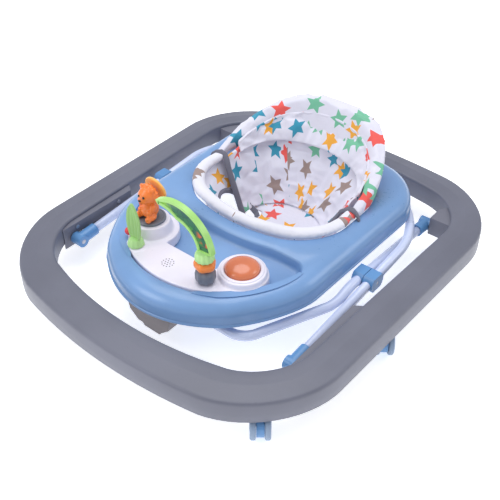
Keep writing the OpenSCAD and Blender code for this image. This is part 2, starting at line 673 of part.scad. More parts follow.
module panel_plan(shrink) {
    intersection() {
        polygon(outline(basin_shape, basin_fit + shrink));
        union() {
            translate([table_x, table_y]) circle(r = table_pod_r - shrink, $fn = round_fn);
            translate([dome_x, dome_y]) circle(r = dome_pod_r - shrink, $fn = round_fn);
            polygon([[table_x - 40, -300], [dome_x + 30, -300],
                     [dome_x + 30, dome_y], [dome_x - 10, -158 - shrink],
                     [table_x + 10, -158 - shrink], [table_x - 40, table_y]]);
        }
    }
}
speaker_x = -8;
speaker_y = -192;
sound_hole_r = 0.9;
sound_rings = [[0, 1], [4.5, 6], [9, 12]]; // [ring radius, holes on it]
pod_taper = 4;
post_boss_r = 19;
leaf_boss_r = 16;
bead_pin_r = 1.5;
module toy_panel() {
    s = panel_skin;
    under = panel_top - s - 1;
    color("#e8e4f2") difference() {
        intersection() {
            translate([0, 0, panel_floor]) linear_extrude(table_top - panel_floor)
                polygon(outline(basin_shape, basin_fit));
            union() {
                translate([0, 0, panel_floor]) linear_extrude(panel_top - panel_floor) panel_plan(0);
                translate([table_x, table_y, panel_floor]) cylinder(h = table_top - 2 - panel_floor,
                    r1 = table_pod_r - pod_taper, r2 = turntable_r + 6, $fn = 96);
                translate([dome_x, dome_y, panel_floor]) cylinder(h = dome_base - panel_floor,
                    r1 = dome_pod_r, r2 = dome_pod_r - pod_taper, $fn = 96);
                translate([post_x, post_y, panel_floor])
                    cylinder(h = boss_top - panel_floor, r = post_boss_r, $fn = round_fn);
                translate([leaf_x, leaf_y, panel_floor])
                    cylinder(h = boss_top - panel_floor, r = leaf_boss_r, $fn = round_fn);
            }
        }
        // hollow underside
        translate([0, 0, panel_floor - 1]) linear_extrude(panel_top - s - panel_floor + 1) panel_plan(s);
        translate([table_x, table_y, under])
            cylinder(h = table_top - 8 - panel_top, r = turntable_r, $fn = round_fn);
        // bores for the spindles, the dome and the arch post
        translate([table_x, table_y, panel_top]) cylinder(h = 40, r = post_r + run_fit, $fn = round_fn);
        translate([dome_x, dome_y, under]) cylinder(h = 40, r = dome_r + rest_gap, $fn = 96);
        for (hole = [[post_x, post_y, post_r], [leaf_x, leaf_y, post_r], [bead_x, bead_y, bead_pin_r]])
            translate([hole[0], hole[1], under]) cylinder(h = 20, r = hole[2] + run_fit, $fn = round_fn);
        // sound holes over the speaker
        for (ring = sound_rings) for (k = [1:ring[1]])
            translate([speaker_x, speaker_y, under]) rotate([0, 0, 360 * k / ring[1]])
                translate([ring[0], 0, 0]) cylinder(h = 10, r = sound_hole_r, $fn = 24);
    }
}
inner_z = panel_floor + 1;
module panel_screws() {
    color("#50525a") for (p = [[-40, -200], [36, -202]])
        translate([p[0], p[1], inner_z + 3])
            cylinder(h = panel_top - panel_skin - rest_gap - inner_z - 3, r = screw_r, $fn = 32);
}
module battery_door() {
    color("#d5d2df") translate([-30, -184, panel_floor]) cube([60, 20, 2]);
}
module batteries() {
    color("#b08f3c") for (y = [-179, -169]) x_cylinder(-24, 24, y, panel_floor + 7, 4.6);
}
module speaker() {
    color("#2c2d31") translate([speaker_x, speaker_y - 4, panel_top - panel_skin - 4])
        cylinder(h = 3.5, r = 11, $fn = round_fn);
}
module circuit_board() {
    color("#2f7d4f") translate([dome_x - 30, dome_y - 20, panel_floor + 3]) cube([50, 36, 1.6]);
}
module dome_button() {
    ball = (dome_r * dome_r + dome_high * dome_high) / (2 * dome_high);
    color("#e8966e") translate([dome_x, dome_y, 0]) {
        translate([0, 0, dome_base - dome_travel]) cylinder(h = dome_travel + 1, r = dome_r, $fn = 96);
        intersection() {
            translate([0, 0, dome_base + 1 + dome_high - ball]) sphere(r = ball, $fn = 96);
            translate([0, 0, dome_base]) cylinder(h = 40, r = dome_r, $fn = 96);
        }
    }
}

disc_top = table_top + 2.5;
body_r = 17;
body_z = 15;
head_r = 16;
head_z = 40;
paw_r = 5;
disc_r = 21;
module turntable_disc() {
    color("#82878f") translate([table_x, table_y, 0]) {
        translate([0, 0, table_top - 1]) cylinder(h = disc_top - table_top + 1, r = turntable_r, $fn = 96);
        translate([0, 0, table_top - 16]) cylinder(h = 16, r = post_r, $fn = round_fn);
    }
}
module toy_figure() {
    color("#f5823c") translate([table_x, table_y, disc_top + rest_gap]) {
        translate([0, 0, body_z]) intersection() {
            sphere(r = body_r, $fn = 48);
            translate([-30, -30, -body_z]) cube(60);
        }
        // feet, hands and ears
        for (place = [[11, -14, paw_r], [15, -8, body_z + 7], [11, -2, head_z + 12]])
            both_sides() translate(place) sphere(r = paw_r, $fn = 32);
        translate([0, -3, head_z]) sphere(r = head_r, $fn = 48);
        translate([0, -1, 2 * body_z]) cylinder(h = 8, r = 11, $fn = 32);
    }
}
module figure_disc() {
    color("#f7b455") translate([table_x, table_y, disc_top + rest_gap + head_z])
        rotate([-78, 0, 0]) translate([0, 0, head_r - 2])
            cylinder(h = 4, r = disc_r, $fn = round_fn);
}

grey_z = boss_top + rest_gap;
grey_h = 24;
orange_z = grey_z + grey_h + rest_gap;
orange_h = 16;
foot_z = orange_z + orange_h + rest_gap;
foot_h = 15;
module arch_post() {
    color("#cfcbd8") translate([post_x, post_y, panel_top - panel_skin + 0.5])
        cylinder(h = foot_z + 9 - panel_top, r = post_r, $fn = round_fn);
}
module spin_bead(z, h, r, waist) {
    translate([post_x, post_y, z]) rotate_extrude($fn = 96) polygon(concat(
        [[post_r + run_fit, 0]],
        [for (k = [0:8]) [r - waist + waist * sin(22.5 * k), h * (0.08 + 0.84 * k / 8)]],
        [[post_r + run_fit, h]]));
}
module grey_bead() { color("#82878f") spin_bead(grey_z, grey_h, 15, 5); }
module orange_bead() { color("#f08a3e") spin_bead(orange_z, orange_h, 16, 3); }
module arch_foot() {
    color("#b5e07f") translate([post_x, post_y, foot_z]) difference() {
        cylinder(h = foot_h, r1 = 15, r2 = 12, $fn = round_fn);
        translate([0, 0, -1]) cylinder(h = 10, r = post_r + run_fit, $fn = round_fn);
    }
}
// The arch rises from its foot, curves over and ends in a free tip.
module toy_arch() {
    low = -6;
    high = 122;
    turns = 24;
    color("#7fc25a") translate([0, post_y + arch_thick / 2, 0]) rotate([90, 0, 0])
        linear_extrude(arch_thick) difference() {
            polygon(concat(
                [for (k = [0:turns]) let (a = low + (high - low) * k / turns)
                    [arch_x + arch_r * cos(a), arch_z + arch_r * sin(a)]],
                [for (k = [turns:-1:0]) let (a = low + (high - low) * k / turns,
                    r = arch_r - arch_band * min(1, (high - a) / 40))
                    [arch_x + r * cos(a), arch_z + r * sin(a)]]));
            translate([arch_x - 10, arch_z - 60])
                square([arch_r * 2, 60 + foot_z + foot_h + rest_gap - arch_z]);
        }
}
knob_high = 13;
leaf_thick = 5;
module leaf_knob() {
    color("#a5d87a") translate([leaf_x, leaf_y, 0]) {
        translate([0, 0, boss_top + rest_gap]) cylinder(h = knob_high, r1 = 13, r2 = 9, $fn = round_fn);
        translate([0, 0, panel_top - panel_skin]) cylinder(h = 6, r = post_r, $fn = round_fn);
    }
}
module leaf_blade() {
    tall = 62;
    wide = 15;
    stem = 6;
    right = [for (k = [0:12]) [stem + (wide - stem) * sin(15 * k), 0.9 * tall * k / 12]];
    color("#96be73") translate([leaf_x, leaf_y + leaf_thick / 2, boss_top + knob_high + 2 * rest_gap])
        rotate([90, 0, 0]) linear_extrude(leaf_thick)
            polygon(concat(right, [[0, tall]], [for (k = [12:-1:0]) [-right[k].x, right[k].y]]));
}
module red_bead_pin() {
    color("#cfcbd8") translate([bead_x, bead_y, panel_top - panel_skin])
        cylinder(h = 22, r = bead_pin_r, $fn = 32);
}
module red_bead() {
    color("#d8343a") translate([bead_x, bead_y, panel_top + 11]) difference() {
        sphere(r = 6.5, $fn = 48);
        translate([0, 0, -10]) cylinder(h = 20, r = bead_pin_r + run_fit, $fn = 32);
    }
}

base_ring();
slide_rail_left();
slide_rail_right();
rear_bracket_left();
rear_bracket_right();
caster_sockets();
friction_pads();
rail_screws();
rear_leg_tube();
rear_leg_caps();
rear_pivot_pins();
inner_clamps();
cross_pins();
front_leg_tube();
front_leg_caps();
slot_pins();
outer_clamps();
bearing_bushes();
tray_shell();
tray_bearings();
bearing_screws();
height_housing();
release_handle();
seat_bucket();
seat_rim_roll();
backrest_pad();
seat_clips();
toy_panel();
panel_screws();
battery_door();
batteries();
speaker();
circuit_board();
dome_button();
turntable_disc();
toy_figure();
figure_disc();
arch_post();
toy_arch();
arch_foot();
orange_bead();
grey_bead();
leaf_knob();
leaf_blade();
red_bead();
red_bead_pin();
caster(0);  // caster_front_left
caster(1);  // caster_front_right
caster(2);  // caster_mid_left
caster(3);  // caster_mid_right
caster(4);  // caster_rear_left
caster(5);  // caster_rear_right
wheels(0);  // wheels_front_left
wheels(1);  // wheels_front_right
wheels(2);  // wheels_mid_left
wheels(3);  // wheels_mid_right
wheels(4);  // wheels_rear_left
wheels(5);  // wheels_rear_right
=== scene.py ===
import math

import bmesh
import bpy
from mathutils import Matrix, Vector
from mathutils.bvhtree import BVHTree


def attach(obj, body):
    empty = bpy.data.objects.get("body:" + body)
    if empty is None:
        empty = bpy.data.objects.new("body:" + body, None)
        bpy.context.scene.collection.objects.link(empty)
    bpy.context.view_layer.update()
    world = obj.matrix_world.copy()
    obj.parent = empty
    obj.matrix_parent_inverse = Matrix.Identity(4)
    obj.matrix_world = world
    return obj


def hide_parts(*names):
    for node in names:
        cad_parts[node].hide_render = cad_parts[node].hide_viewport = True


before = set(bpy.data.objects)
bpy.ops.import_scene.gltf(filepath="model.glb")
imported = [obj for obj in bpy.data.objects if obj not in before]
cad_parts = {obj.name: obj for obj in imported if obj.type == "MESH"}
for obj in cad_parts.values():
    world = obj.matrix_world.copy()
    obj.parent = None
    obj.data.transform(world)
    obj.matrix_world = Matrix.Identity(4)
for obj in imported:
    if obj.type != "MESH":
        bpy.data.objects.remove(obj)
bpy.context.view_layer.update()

# Viewpoint. The walker is seen from above its front right corner, a little more than a metre away,
# through a short portrait lens.
aim = Vector((0.0068, -0.0156, 0.040))
azimuth = math.radians(38.96)
elevation = math.radians(39.14)
roll = math.radians(0.27)
distance = 1.28
away = Vector((math.sin(azimuth) * math.cos(elevation), -math.cos(azimuth) * math.cos(elevation),
               math.sin(elevation)))
camera = bpy.data.objects.new("camera", bpy.data.cameras.new("camera"))
camera.data.lens = 54.6
camera.rotation_mode = "QUATERNION"
camera.rotation_quaternion = (-away).to_track_quat("-Z", "Y")
camera.rotation_quaternion.rotate(Matrix.Rotation(roll, 3, away).to_quaternion())
camera.location = aim + away * distance
bpy.context.scene.collection.objects.link(camera)
bpy.context.scene.camera = camera


# Studio light. One wide softbox overhead, a second behind the camera's left shoulder and a weak one
# at the back keep the shadows soft; the room itself is pale.
def softbox(name, place, size, watts):
    box = bpy.data.objects.new(name, bpy.data.lights.new(name, "AREA"))
    box.data.shape = "DISK"
    box.data.size = size
    box.data.energy = watts
    box.location = place
    box.rotation_mode = "QUATERNION"
    box.rotation_quaternion = (aim - box.location).to_track_quat("-Z", "Y")
    bpy.context.scene.collection.objects.link(box)


softbox("top_light", Vector((-0.35, 0.25, 2.1)), 1.9, 25)
softbox("key_light", Vector((-0.9, -1.7, 1.5)), 1.2, 13)
softbox("rear_light", Vector((1.5, 1.3, 1.3)), 1.0, 6.5)
room = bpy.data.worlds.new("room")
room.use_nodes = True
room.node_tree.nodes["Background"].inputs["Color"].default_value = (0.93, 0.95, 1.0, 1.0)
room.node_tree.nodes["Background"].inputs["Strength"].default_value = 0.58
bpy.context.scene.world = room
bpy.context.scene.view_settings.view_transform = "Standard"


# Finishes. A Wire is one socket of a material and takes ordinary arithmetic; a Finish is a
# Principled material whose colour, roughness and surface come from procedural nodes.
class Wire:
    def __init__(self, finish, socket):
        self.finish = finish
        self.socket = socket

    def math(self, operation, *others):
        inputs = dict(enumerate((self, *others)))
        return self.finish.node("ShaderNodeMath", {"operation": operation}, inputs)

    def __add__(self, other):
        return self.math("ADD", other)

    def __sub__(self, other):
        return self.math("SUBTRACT", other)

    def __mul__(self, other):
        return self.math("MULTIPLY", other)

    def __truediv__(self, other):
        return self.math("DIVIDE", other)

    def __rsub__(self, other):
        return self * -1.0 + other

    __radd__ = __add__
    __rmul__ = __mul__


class Finish:
    def __init__(self, name, roughness, **fixed):
        self.material = bpy.data.materials.new(name)
        self.material.use_nodes = True
        self.tree = self.material.node_tree
        self.shader = self.tree.nodes["Principled BSDF"]
        self.set("Roughness", roughness)
        for socket, value in fixed.items():
            self.set(socket.replace("_", " "), value)

    def set(self, socket, value):
        if isinstance(value, Wire):
            self.tree.links.new(value.socket, self.shader.inputs[socket])
        else:
            self.shader.inputs[socket].default_value = value

    def node(self, kind, settings=None, inputs=None, output=0):
        made = self.tree.nodes.new(kind)
        for key, value in (settings or {}).items():
            if key == "stops":
                ramp = made.color_ramp
                while len(ramp.elements) < len(value):
                    ramp.elements.new(1.0)
                for element, (place, colour) in zip(ramp.elements, value):
                    element.position = place
                    element.color = colour
            elif key == "interpolation":
                made.color_ramp.interpolation = value
            else:
                setattr(made, key, value)
        for key, value in (inputs or {}).items():
            if isinstance(value, Wire):
                self.tree.links.new(value.socket, made.inputs[key])
            else:
                made.inputs[key].default_value = value
        return Wire(self, made.outputs[output])

    def place(self):
        return self.node("ShaderNodeTexCoord", output="Object")

    def noise(self, scale, detail=3.0, where=None):
        return self.node("ShaderNodeTexNoise", None,
                         {"Vector": where or self.place(), "Scale": scale, "Detail": detail})

    def mix(self, share, first, second):
        return self.node("ShaderNodeMix", {"data_type": "RGBA"}, {0: share, 6: first, 7: second}, 2)

    def step(self, value, low, high):
        return self.node("ShaderNodeMapRange", {"interpolation_type": "SMOOTHSTEP"},
                         {0: value, 1: low, 2: high})

    def axis(self, vector, index):
        return self.node("ShaderNodeSeparateXYZ", None, {0: vector}, index)

    def bump(self, height, depth, strength=1.0):
        self.set("Normal", self.node("ShaderNodeBump", None,
                                     {"Height": height, "Distance": depth, "Strength": strength}))


def rgb(red, green, blue, share=1.0):
    """A display colour from 0 to 255, as the linear colour that a socket takes."""
    def linear(value):
        value = value * share / 255
        return value / 12.92 if value <= 0.04045 else ((value + 0.055) / 1.055) ** 2.4
    return (linear(red), linear(green), linear(blue), 1.0)


def moulded(name, colour, roughness, grain=900.0, grain_depth=0.00004, **fixed):
    """Injection moulded plastic: a faint flow in its colour and gloss, and a fine surface grain."""
    finish = Finish(name, roughness, **fixed)
    flow = finish.noise(9.0, 4.0)
    dust = finish.noise(160.0, 5.0)
    shade = finish.mix(finish.step(flow, 0.3, 0.7), rgb(*colour, share=0.965), rgb(*colour, share=1.03))
    shade = finish.mix(finish.step(dust, 0.62, 0.8) * 0.25, shade, rgb(*colour, share=0.85))
    finish.set("Base Color", shade)
    finish.set("Roughness", flow * 0.12 + dust * 0.08 + (roughness - 0.1))
    finish.bump(finish.noise(grain, 2.0) * 0.5 + finish.noise(26.0, 1.0) * 2.5, grain_depth)
    return finish


# Two ways to a finished piece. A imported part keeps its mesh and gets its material, rounded edges and
# smooth shading; a new piece comes from its own bmesh and rides on the body it is fixed to.
def carry(finish, *names, edge=0.0008):
    for name in names:
        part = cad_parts[name]
        if "custom_normal" in part.data.attributes:
            part.data.attributes.remove(part.data.attributes["custom_normal"])
        part.data.shade_smooth()
        part.data.materials.clear()
        part.data.materials.append(finish.material)
        part.data.polygons.foreach_set("material_index", [0] * len(part.data.polygons))
        weld = part.modifiers.new("weld", "WELD")
        weld.merge_threshold = 0.000002
        if edge:
            flat = part.modifiers.new("flat", "DECIMATE")
            flat.decimate_type = "DISSOLVE"
            flat.angle_limit = math.radians(0.4)
            rounded = part.modifiers.new("rounded", "BEVEL")
            rounded.width = edge
            rounded.segments = 2
            rounded.limit_method = "ANGLE"
            rounded.angle_limit = math.radians(38)
            rounded.use_clamp_overlap = True
            normals = part.modifiers.new("normals", "WEIGHTED_NORMAL")
            normals.keep_sharp = False


def finished(name, bm, finish, body, replaces=(), sharp=45):
    bmesh.ops.remove_doubles(bm, verts=bm.verts, dist=0.000005)
    bmesh.ops.recalc_face_normals(bm, faces=bm.faces)
    mesh = bpy.data.meshes.new(name)
    bm.to_mesh(mesh)
    bm.free()
    mesh.materials.append(finish.material)
    mesh.shade_smooth()
    mesh.set_sharp_from_angle(angle=math.radians(sharp))
    piece = bpy.data.objects.new(name, mesh)
    bpy.context.scene.collection.objects.link(piece)
    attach(piece, body)
    if replaces:
        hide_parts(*replaces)
    return piece


# Floor. A plain pale sweep of card under the wheels.
card = Finish("pale_card", 0.9, Specular_IOR_Level=0.1)
card_tone = card.noise(6.0, 3.0)
card.set("Base Color", card.mix(card_tone, rgb(250, 250, 252), rgb(255, 255, 255)))
card.set("Emission Color", card.mix(card_tone, rgb(254, 254, 255), rgb(255, 255, 255)))
card.set("Emission Strength", 0.62)
floor_mesh = bmesh.new()
bmesh.ops.create_grid(floor_mesh, x_segments=2, y_segments=2, size=6.0)
floor_data = bpy.data.meshes.new("floor")
floor_mesh.to_mesh(floor_data)
floor_mesh.free()
floor_data.materials.append(card.material)
floor = bpy.data.objects.new("floor", floor_data)
floor.location.z = -0.0005
bpy.context.scene.collection.objects.link(floor)

# Base ring. One moulding of grey polypropylene with an open channel section: a level inner strip,
# a crease, a sloped outer strip and two side walls that hide the casters' sockets.
MM = 0.001
ring_plan = (296, 314, -350, 350, 50, 36, 122, 132)
ring_section = (
    (0.6, 44), (0, 45), (0.2, 60), (0.6, 74), (1.2, 77), (2.4, 78.8), (4.2, 79.8), (6.5, 80.2), (16, 81.9),
    (27.2, 83.8), (28.6, 84.1), (30, 84.1), (40, 84), (49.5, 84), (51.6, 83.5), (53, 82.4), (53.8, 80.6),
    (54, 78), (54, 49), (53.4, 48), (51.2, 48), (50.6, 49), (50.5, 79.5), (29, 80.4), (7, 76.6), (3.6, 73),
    (3.4, 45), (2.8, 44))


def plan_line(shape, inset=0.0, bow_steps=9, arc_steps=14):
    """A closed plan outline with bowed ends and round corners, moved inwards by inset."""
    half_front, half_rear, front, rear, bow_front, bow_rear, r_front, r_rear = shape
    half_front, half_rear, front, rear = (half_front - inset, half_rear - inset, front + inset,
                                          rear - inset)
    r_front, r_rear = max(r_front - inset, 4), max(r_rear - inset, 4)

    def bow(half, y, depth, radius, i):
        share = i / bow_steps * (1 - radius / half)
        return Vector((share * half, y + depth * share * share))

    def arc(start, corner, end):
        for i in range(1, arc_steps):
            t = i / arc_steps
            weights = ((1 - t) ** 2, math.sqrt(2) * t * (1 - t), t * t)
            yield (start * weights[0] + corner * weights[1] + end * weights[2]) / sum(weights)

    front_line = [bow(half_front, front, bow_front, r_front, i) for i in range(bow_steps + 1)]
    rear_line = [bow(half_rear, rear, -bow_rear, r_rear, i) for i in range(bow_steps, -1, -1)]
    front_corner = Vector((half_front, front + bow_front))
    rear_corner = Vector((half_rear, rear - bow_rear))
    side = (rear_corner - front_corner).normalized()
    side_start = front_corner + side * r_front
    side_end = rear_corner - side * r_rear
    side_line = [side_start.lerp(side_end, i / 4) for i in range(5)]
    half = (front_line + list(arc(front_line[-1], front_corner, side_start)) + side_line
            + list(arc(side_end, rear_corner, rear_line[0])) + rear_line)
    return half + [Vector((-p.x, p.y)) for p in half[-2:0:-1]]


def hoop_edges(row):
    return [next(edge for edge in vert.link_edges if edge.other_vert(vert) is following)
            for vert, following in zip(row, row[1:] + row[:1])]


def next_row(bm, rows, points):
    """Adds a closed row of points: the first as new edges, the others extruded from the last row."""
    if not rows:
        row = [bm.verts.new(point) for point in points]
        for pair in zip(row, row[1:] + row[:1]):
            bm.edges.new(pair)
    else:
        made = bmesh.ops.extrude_edge_only(bm, edges=hoop_edges(rows[-1]))["geom"]
        fresh = {part for part in made if isinstance(part, bmesh.types.BMVert)}
        row = [next(edge.other_vert(vert) for edge in vert.link_edges
                    if edge.other_vert(vert) in fresh) for vert in rows[-1]]
        for vert, point in zip(row, points):
            vert.co = point
    rows.append(row)


def skin(bm, section, line):
    """A wall over a section: the first outline's edges are extruded from one outline to the next."""
    rows = []
    for inset, height in section:
        next_row(bm, rows, [Vector((p.x, p.y, height)) * MM for p in line(inset)])
    return rows


ring_grey = moulded("ring_grey", (108, 110, 124), 0.42, grain=1100.0, grain_depth=0.00005)
ring_mesh = bmesh.new()
skin(ring_mesh, ring_section + ring_section[:1], lambda inset: plan_line(ring_plan, inset))
finished("ring_moulding", ring_mesh, ring_grey, "base", ["base_ring"], sharp=60)

# Ring fittings. Slide rails and rear hinge brackets are darker mouldings screwed to the ring's inner
# walls, and the caster sockets and rubber friction pads sit under its band.
rail_grey = moulded("rail_grey", (112, 113, 126), 0.5)
carry(rail_grey, "slide_rail_left", "slide_rail_right", "rear_bracket_left", "rear_bracket_right",
      edge=0.002)
carry(rail_grey, "caster_sockets")
pad_rubber = moulded("pad_rubber", (52, 53, 58), 0.85, grain=500.0, grain_depth=0.0002)
carry(pad_rubber, "friction_pads", edge=0.001)
steel = Finish("plated_steel", 0.3, Metallic=1.0)
brushed = steel.noise(700.0, 3.0)
steel.set("Base Color", steel.mix(brushed, rgb(150, 152, 160), rgb(196, 198, 204)))
steel.set("Roughness", brushed * 0.2 + 0.2)
steel.bump(brushed, 0.00002)
carry(steel, "rail_screws", "bearing_screws", "panel_screws", "rear_pivot_pins", "slot_pins",
      "cross_pins", edge=0.0003)

# Casters. Blue moulded forks with a hood over twin wheels, clipped into the ring's sockets; the
# wheels are a greyer plastic.
fitting_blue = moulded("fitting_blue", (92, 143, 196), 0.36, Coat_Weight=0.15)
tread = Finish("wheel_tread", 0.5)
tread_place = tread.place()
tread_mix = tread.noise(70.0, 4.0, tread_place)
scuff = tread.noise(380.0, 4.0, tread_place)
tread.set("Base Color", tread.mix(tread_mix, rgb(128, 152, 182), rgb(150, 166, 188)))
tread.set("Roughness", scuff * 0.3 + 0.3)
tread.bump(scuff, 0.0002)
corners = ("front_left", "front_right", "mid_left", "mid_right", "rear_left", "rear_right")
carry(fitting_blue, *("caster_" + corner for corner in corners), edge=0.0007)
carry(tread, *("wheels_" + corner for corner in corners), edge=0.0006)

# Leg frames. Powder coated steel tube, nearly white with a blue cast, bent round two crossbars.
tube_paint = Finish("tube_paint", 0.28, Coat_Weight=0.4, Coat_Roughness=0.12)
peel = tube_paint.noise(240.0, 2.0)
tube_tone = tube_paint.noise(18.0, 3.0)
tube_paint.set("Base Color", tube_paint.mix(tube_tone, rgb(196, 207, 238), rgb(212, 221, 247)))
tube_paint.set("Roughness", tube_tone * 0.1 + 0.22)
tube_paint.bump(peel, 0.00006)
carry(tube_paint, "front_leg_tube", "rear_leg_tube", edge=0)

# Leg fittings. Blue caps close the leg ends and two-part clamps hold the tubes where they cross.
carry(fitting_blue, "front_leg_caps", "rear_leg_caps", "inner_clamps", "outer_clamps", edge=0.0018)
bush_white = moulded("bush_white", (214, 216, 228), 0.45)
carry(bush_white, "bearing_bushes", "seat_clips", "battery_door")

# Tray. A blow moulded blue shell: a bead round the lower edge, a wide round shoulder, the play
# basin's well and the seat opening with its skirt.
tray_plan = (188, 196, -265, 278, 118, 43, 66, 78)
seat_plan = (147, 148, -51, 218, 40, 40, 60, 70)
basin_plan = (157, 157, -226, -65, 75, 2, 60, 20)
lip, top = 80, 119
bridge = 27
shoulder_in, shoulder_low = 29, 97
basin_floor = 100
tray_wall = 3 * MM
tray_blue = moulded("tray_blue", (119, 157, 205), 0.3, grain=600.0, grain_depth=0.00003, Coat_Weight=0.2,
                    Coat_Roughness=0.15)


def quarter(inset0, z0, inset1, z1, steps):
    """Section points along a quarter ellipse that leaves upright and arrives level."""
    for i in range(steps + 1):
        turn = math.pi / 2 * i / steps
        yield inset0 + (inset1 - inset0) * (1 - math.cos(turn)), z0 + (z1 - z0) * math.sin(turn)


def basin_line(inset):
    front = seat_plan[2] - bridge - inset
    bow = seat_plan[4] / (seat_plan[0] + bridge) ** 2
    return [Vector((p.x, min(p.y, front + bow * p.x * p.x))) for p in plan_line(basin_plan, inset)]


tray_mesh = bmesh.new()
tray_section = [(2.2, lip), (0.7, lip + 0.4), (0, lip + 1.6), (0, lip + 2.8), (0.9, lip + 4),
                (2.0, lip + 4.6), (2.1, lip + 6), *quarter(2.2, shoulder_low, shoulder_in, top, 12)]
basin_section = [(-3, top), (-2.2, top - 0.5), (-1, top - 1.6), (0, top - 3.4),
                 (0.6, basin_floor + 7), (1.6, basin_floor + 3), (3.6, basin_floor + 0.9), (7, basin_floor)]
skirt_section = [(-3, top), (-1.8, top - 0.5), (-0.6, top - 1.8), (0, top - 4), (0, top - 16)]
outside = skin(tray_mesh, tray_section, lambda inset: plan_line(tray_plan, inset))
basin = skin(tray_mesh, basin_section, basin_line)
skirt = skin(tray_mesh, skirt_section, lambda inset: plan_line(seat_plan, inset))
bmesh.ops.triangle_fill(tray_mesh, use_beauty=True, use_dissolve=False, edges=hoop_edges(basin[-1]))
bmesh.ops.triangle_fill(tray_mesh, use_beauty=True, use_dissolve=False,
                        edges=hoop_edges(outside[-1]) + hoop_edges(basin[0]) + hoop_edges(skirt[0]))
tray = finished("tray_moulding", tray_mesh, tray_blue, "tray", ["tray_shell"], sharp=50)
wall = tray.modifiers.new("wall", "SOLIDIFY")
wall.thickness = tray_wall
wall.offset = -1
carry(tray_blue, "tray_bearings")
housing_grey = moulded("housing_grey", (112, 106, 110), 0.48)
carry(housing_grey, "height_housing", "release_handle", edge=0.0012)

# Seat cloth. White cotton printed with five pointed stars in five colours, some printed over others;
# the map "cloth" runs along the seat's wall and up it, in metres.
seat_middle = 0.084
cloth_radius = 0.135
star_pitch = 0.047
star_tip = 0.0178
star_notch = 0.0084
star_half_turn = math.radians(36)
star_scatter = 0.55
ink_edge = 0.0002
weave_pitch = 5200.0
star_colours = ((238, 92, 84), (243, 172, 60), (118, 192, 158), (52, 150, 180), (158, 138, 132))


def star_layer(finish, where, shift, pitch, keep):
    """Stars on a loose lattice: returns how much of the print covers a point, and the print's colour."""
    moved = finish.node("ShaderNodeVectorMath", {"operation": "ADD"}, {0: where, 1: (shift, shift * 0.7, 0)})
    scaled = finish.node("ShaderNodeVectorMath", {"operation": "SCALE"}, {0: moved, "Scale": 1 / pitch})
    spot = {"Vector": scaled, "Scale": 1.0, "Randomness": star_scatter}
    centre = finish.node("ShaderNodeTexVoronoi", {"voronoi_dimensions": "2D"}, spot, 2)
    chance = finish.node("ShaderNodeTexVoronoi", {"voronoi_dimensions": "2D"}, spot, 1)
    offset = finish.node("ShaderNodeVectorMath", {"operation": "SUBTRACT"}, {0: scaled, 1: centre})
    across, up = finish.axis(offset, 0) * pitch, finish.axis(offset, 1) * pitch
    spin, pick = finish.axis(chance, 0), finish.axis(chance, 1)
    reach = (across * across + up * up).math("SQRT")
    turn = (up.math("ARCTAN2", across) + spin * 6.283 + 12.566).math("PINGPONG", star_half_turn)
    notch_x, notch_y = star_notch * math.cos(star_half_turn), star_notch * math.sin(star_half_turn)
    edge = math.hypot(notch_y, star_tip - notch_x)
    outside = ((reach * turn.math("COSINE") - star_tip) * (notch_y / edge)
               + reach * turn.math("SINE") * ((star_tip - notch_x) / edge))
    ink = finish.step(outside * -1.0, -ink_edge, ink_edge) * pick.math("GREATER_THAN", keep)
    stops = [(i / 5, rgb(*colour)) for i, colour in enumerate(star_colours)]
    hue = finish.node("ShaderNodeValToRGB", {"stops": stops, "interpolation": "CONSTANT"},
                      {0: finish.axis(chance, 2)})
    return ink, hue


def printed_cotton(name, tone, sparse):
    finish = Finish(name, 0.88, Sheen_Weight=0.12, Specular_IOR_Level=0.25)
    where = finish.node("ShaderNodeUVMap", {"uv_map": "cloth"})
    soil = finish.noise(22.0, 3.0)
    colour = finish.mix(soil, rgb(*tone, share=0.97), rgb(*tone, share=1.02))
    ink, hue = star_layer(finish, where, 0.013, star_pitch, 0.45 if sparse else -1.0)
    colour = finish.mix(ink, colour, hue)
    ink, hue = star_layer(finish, where, 0.111, star_pitch * 1.3, 0.8 if sparse else 0.62)
    colour = finish.mix(ink, colour, hue)
    fleck = finish.noise(1500.0, 2.0)
    finish.set("Base Color", finish.mix(fleck * 0.12, colour, rgb(150, 150, 160)))
    finish.set("Roughness", fleck * 0.15 + 0.8)
    across, up = finish.axis(where, 0), finish.axis(where, 1)
    weave = (across * weave_pitch).math("SINE") * (up * weave_pitch).math("SINE")
    crumple = finish.noise(38.0, 4.0)
    finish.bump(weave * 0.04 + crumple * 1.0 + fleck * 0.05, 0.0022, 0.7)
    return finish


def cloth_turn(p):
    return math.atan2(-p.x, p.y - seat_middle)


def lay_cloth(mesh, place=None):
    """Writes the map "cloth"; place gives a vertex's spot on the cloth, if the piece was cut flat."""
    layer = mesh.uv_layers.new(name="cloth")
    for polygon in mesh.polygons:
        first = None
        for loop in polygon.loop_indices:
            vertex = mesh.vertices[mesh.loops[loop].vertex_index]
            if place:
                layer.data[loop].uv = place(vertex.index, polygon.vertices)
                continue
            if polygon.center.z < 0.031 and abs(polygon.normal.z) > 0.8:
                layer.data[loop].uv = (vertex.co.x + 0.31, vertex.co.y + 0.24)
                continue
            turn = cloth_turn(vertex.co)
            first = turn if first is None else first
            turn += 2 * math.pi * round((first - turn) / (2 * math.pi))
            reach = math.hypot(vertex.co.x, vertex.co.y - seat_middle)
            layer.data[loop].uv = (turn * cloth_radius, vertex.co.z * 0.82 + reach * 0.57)


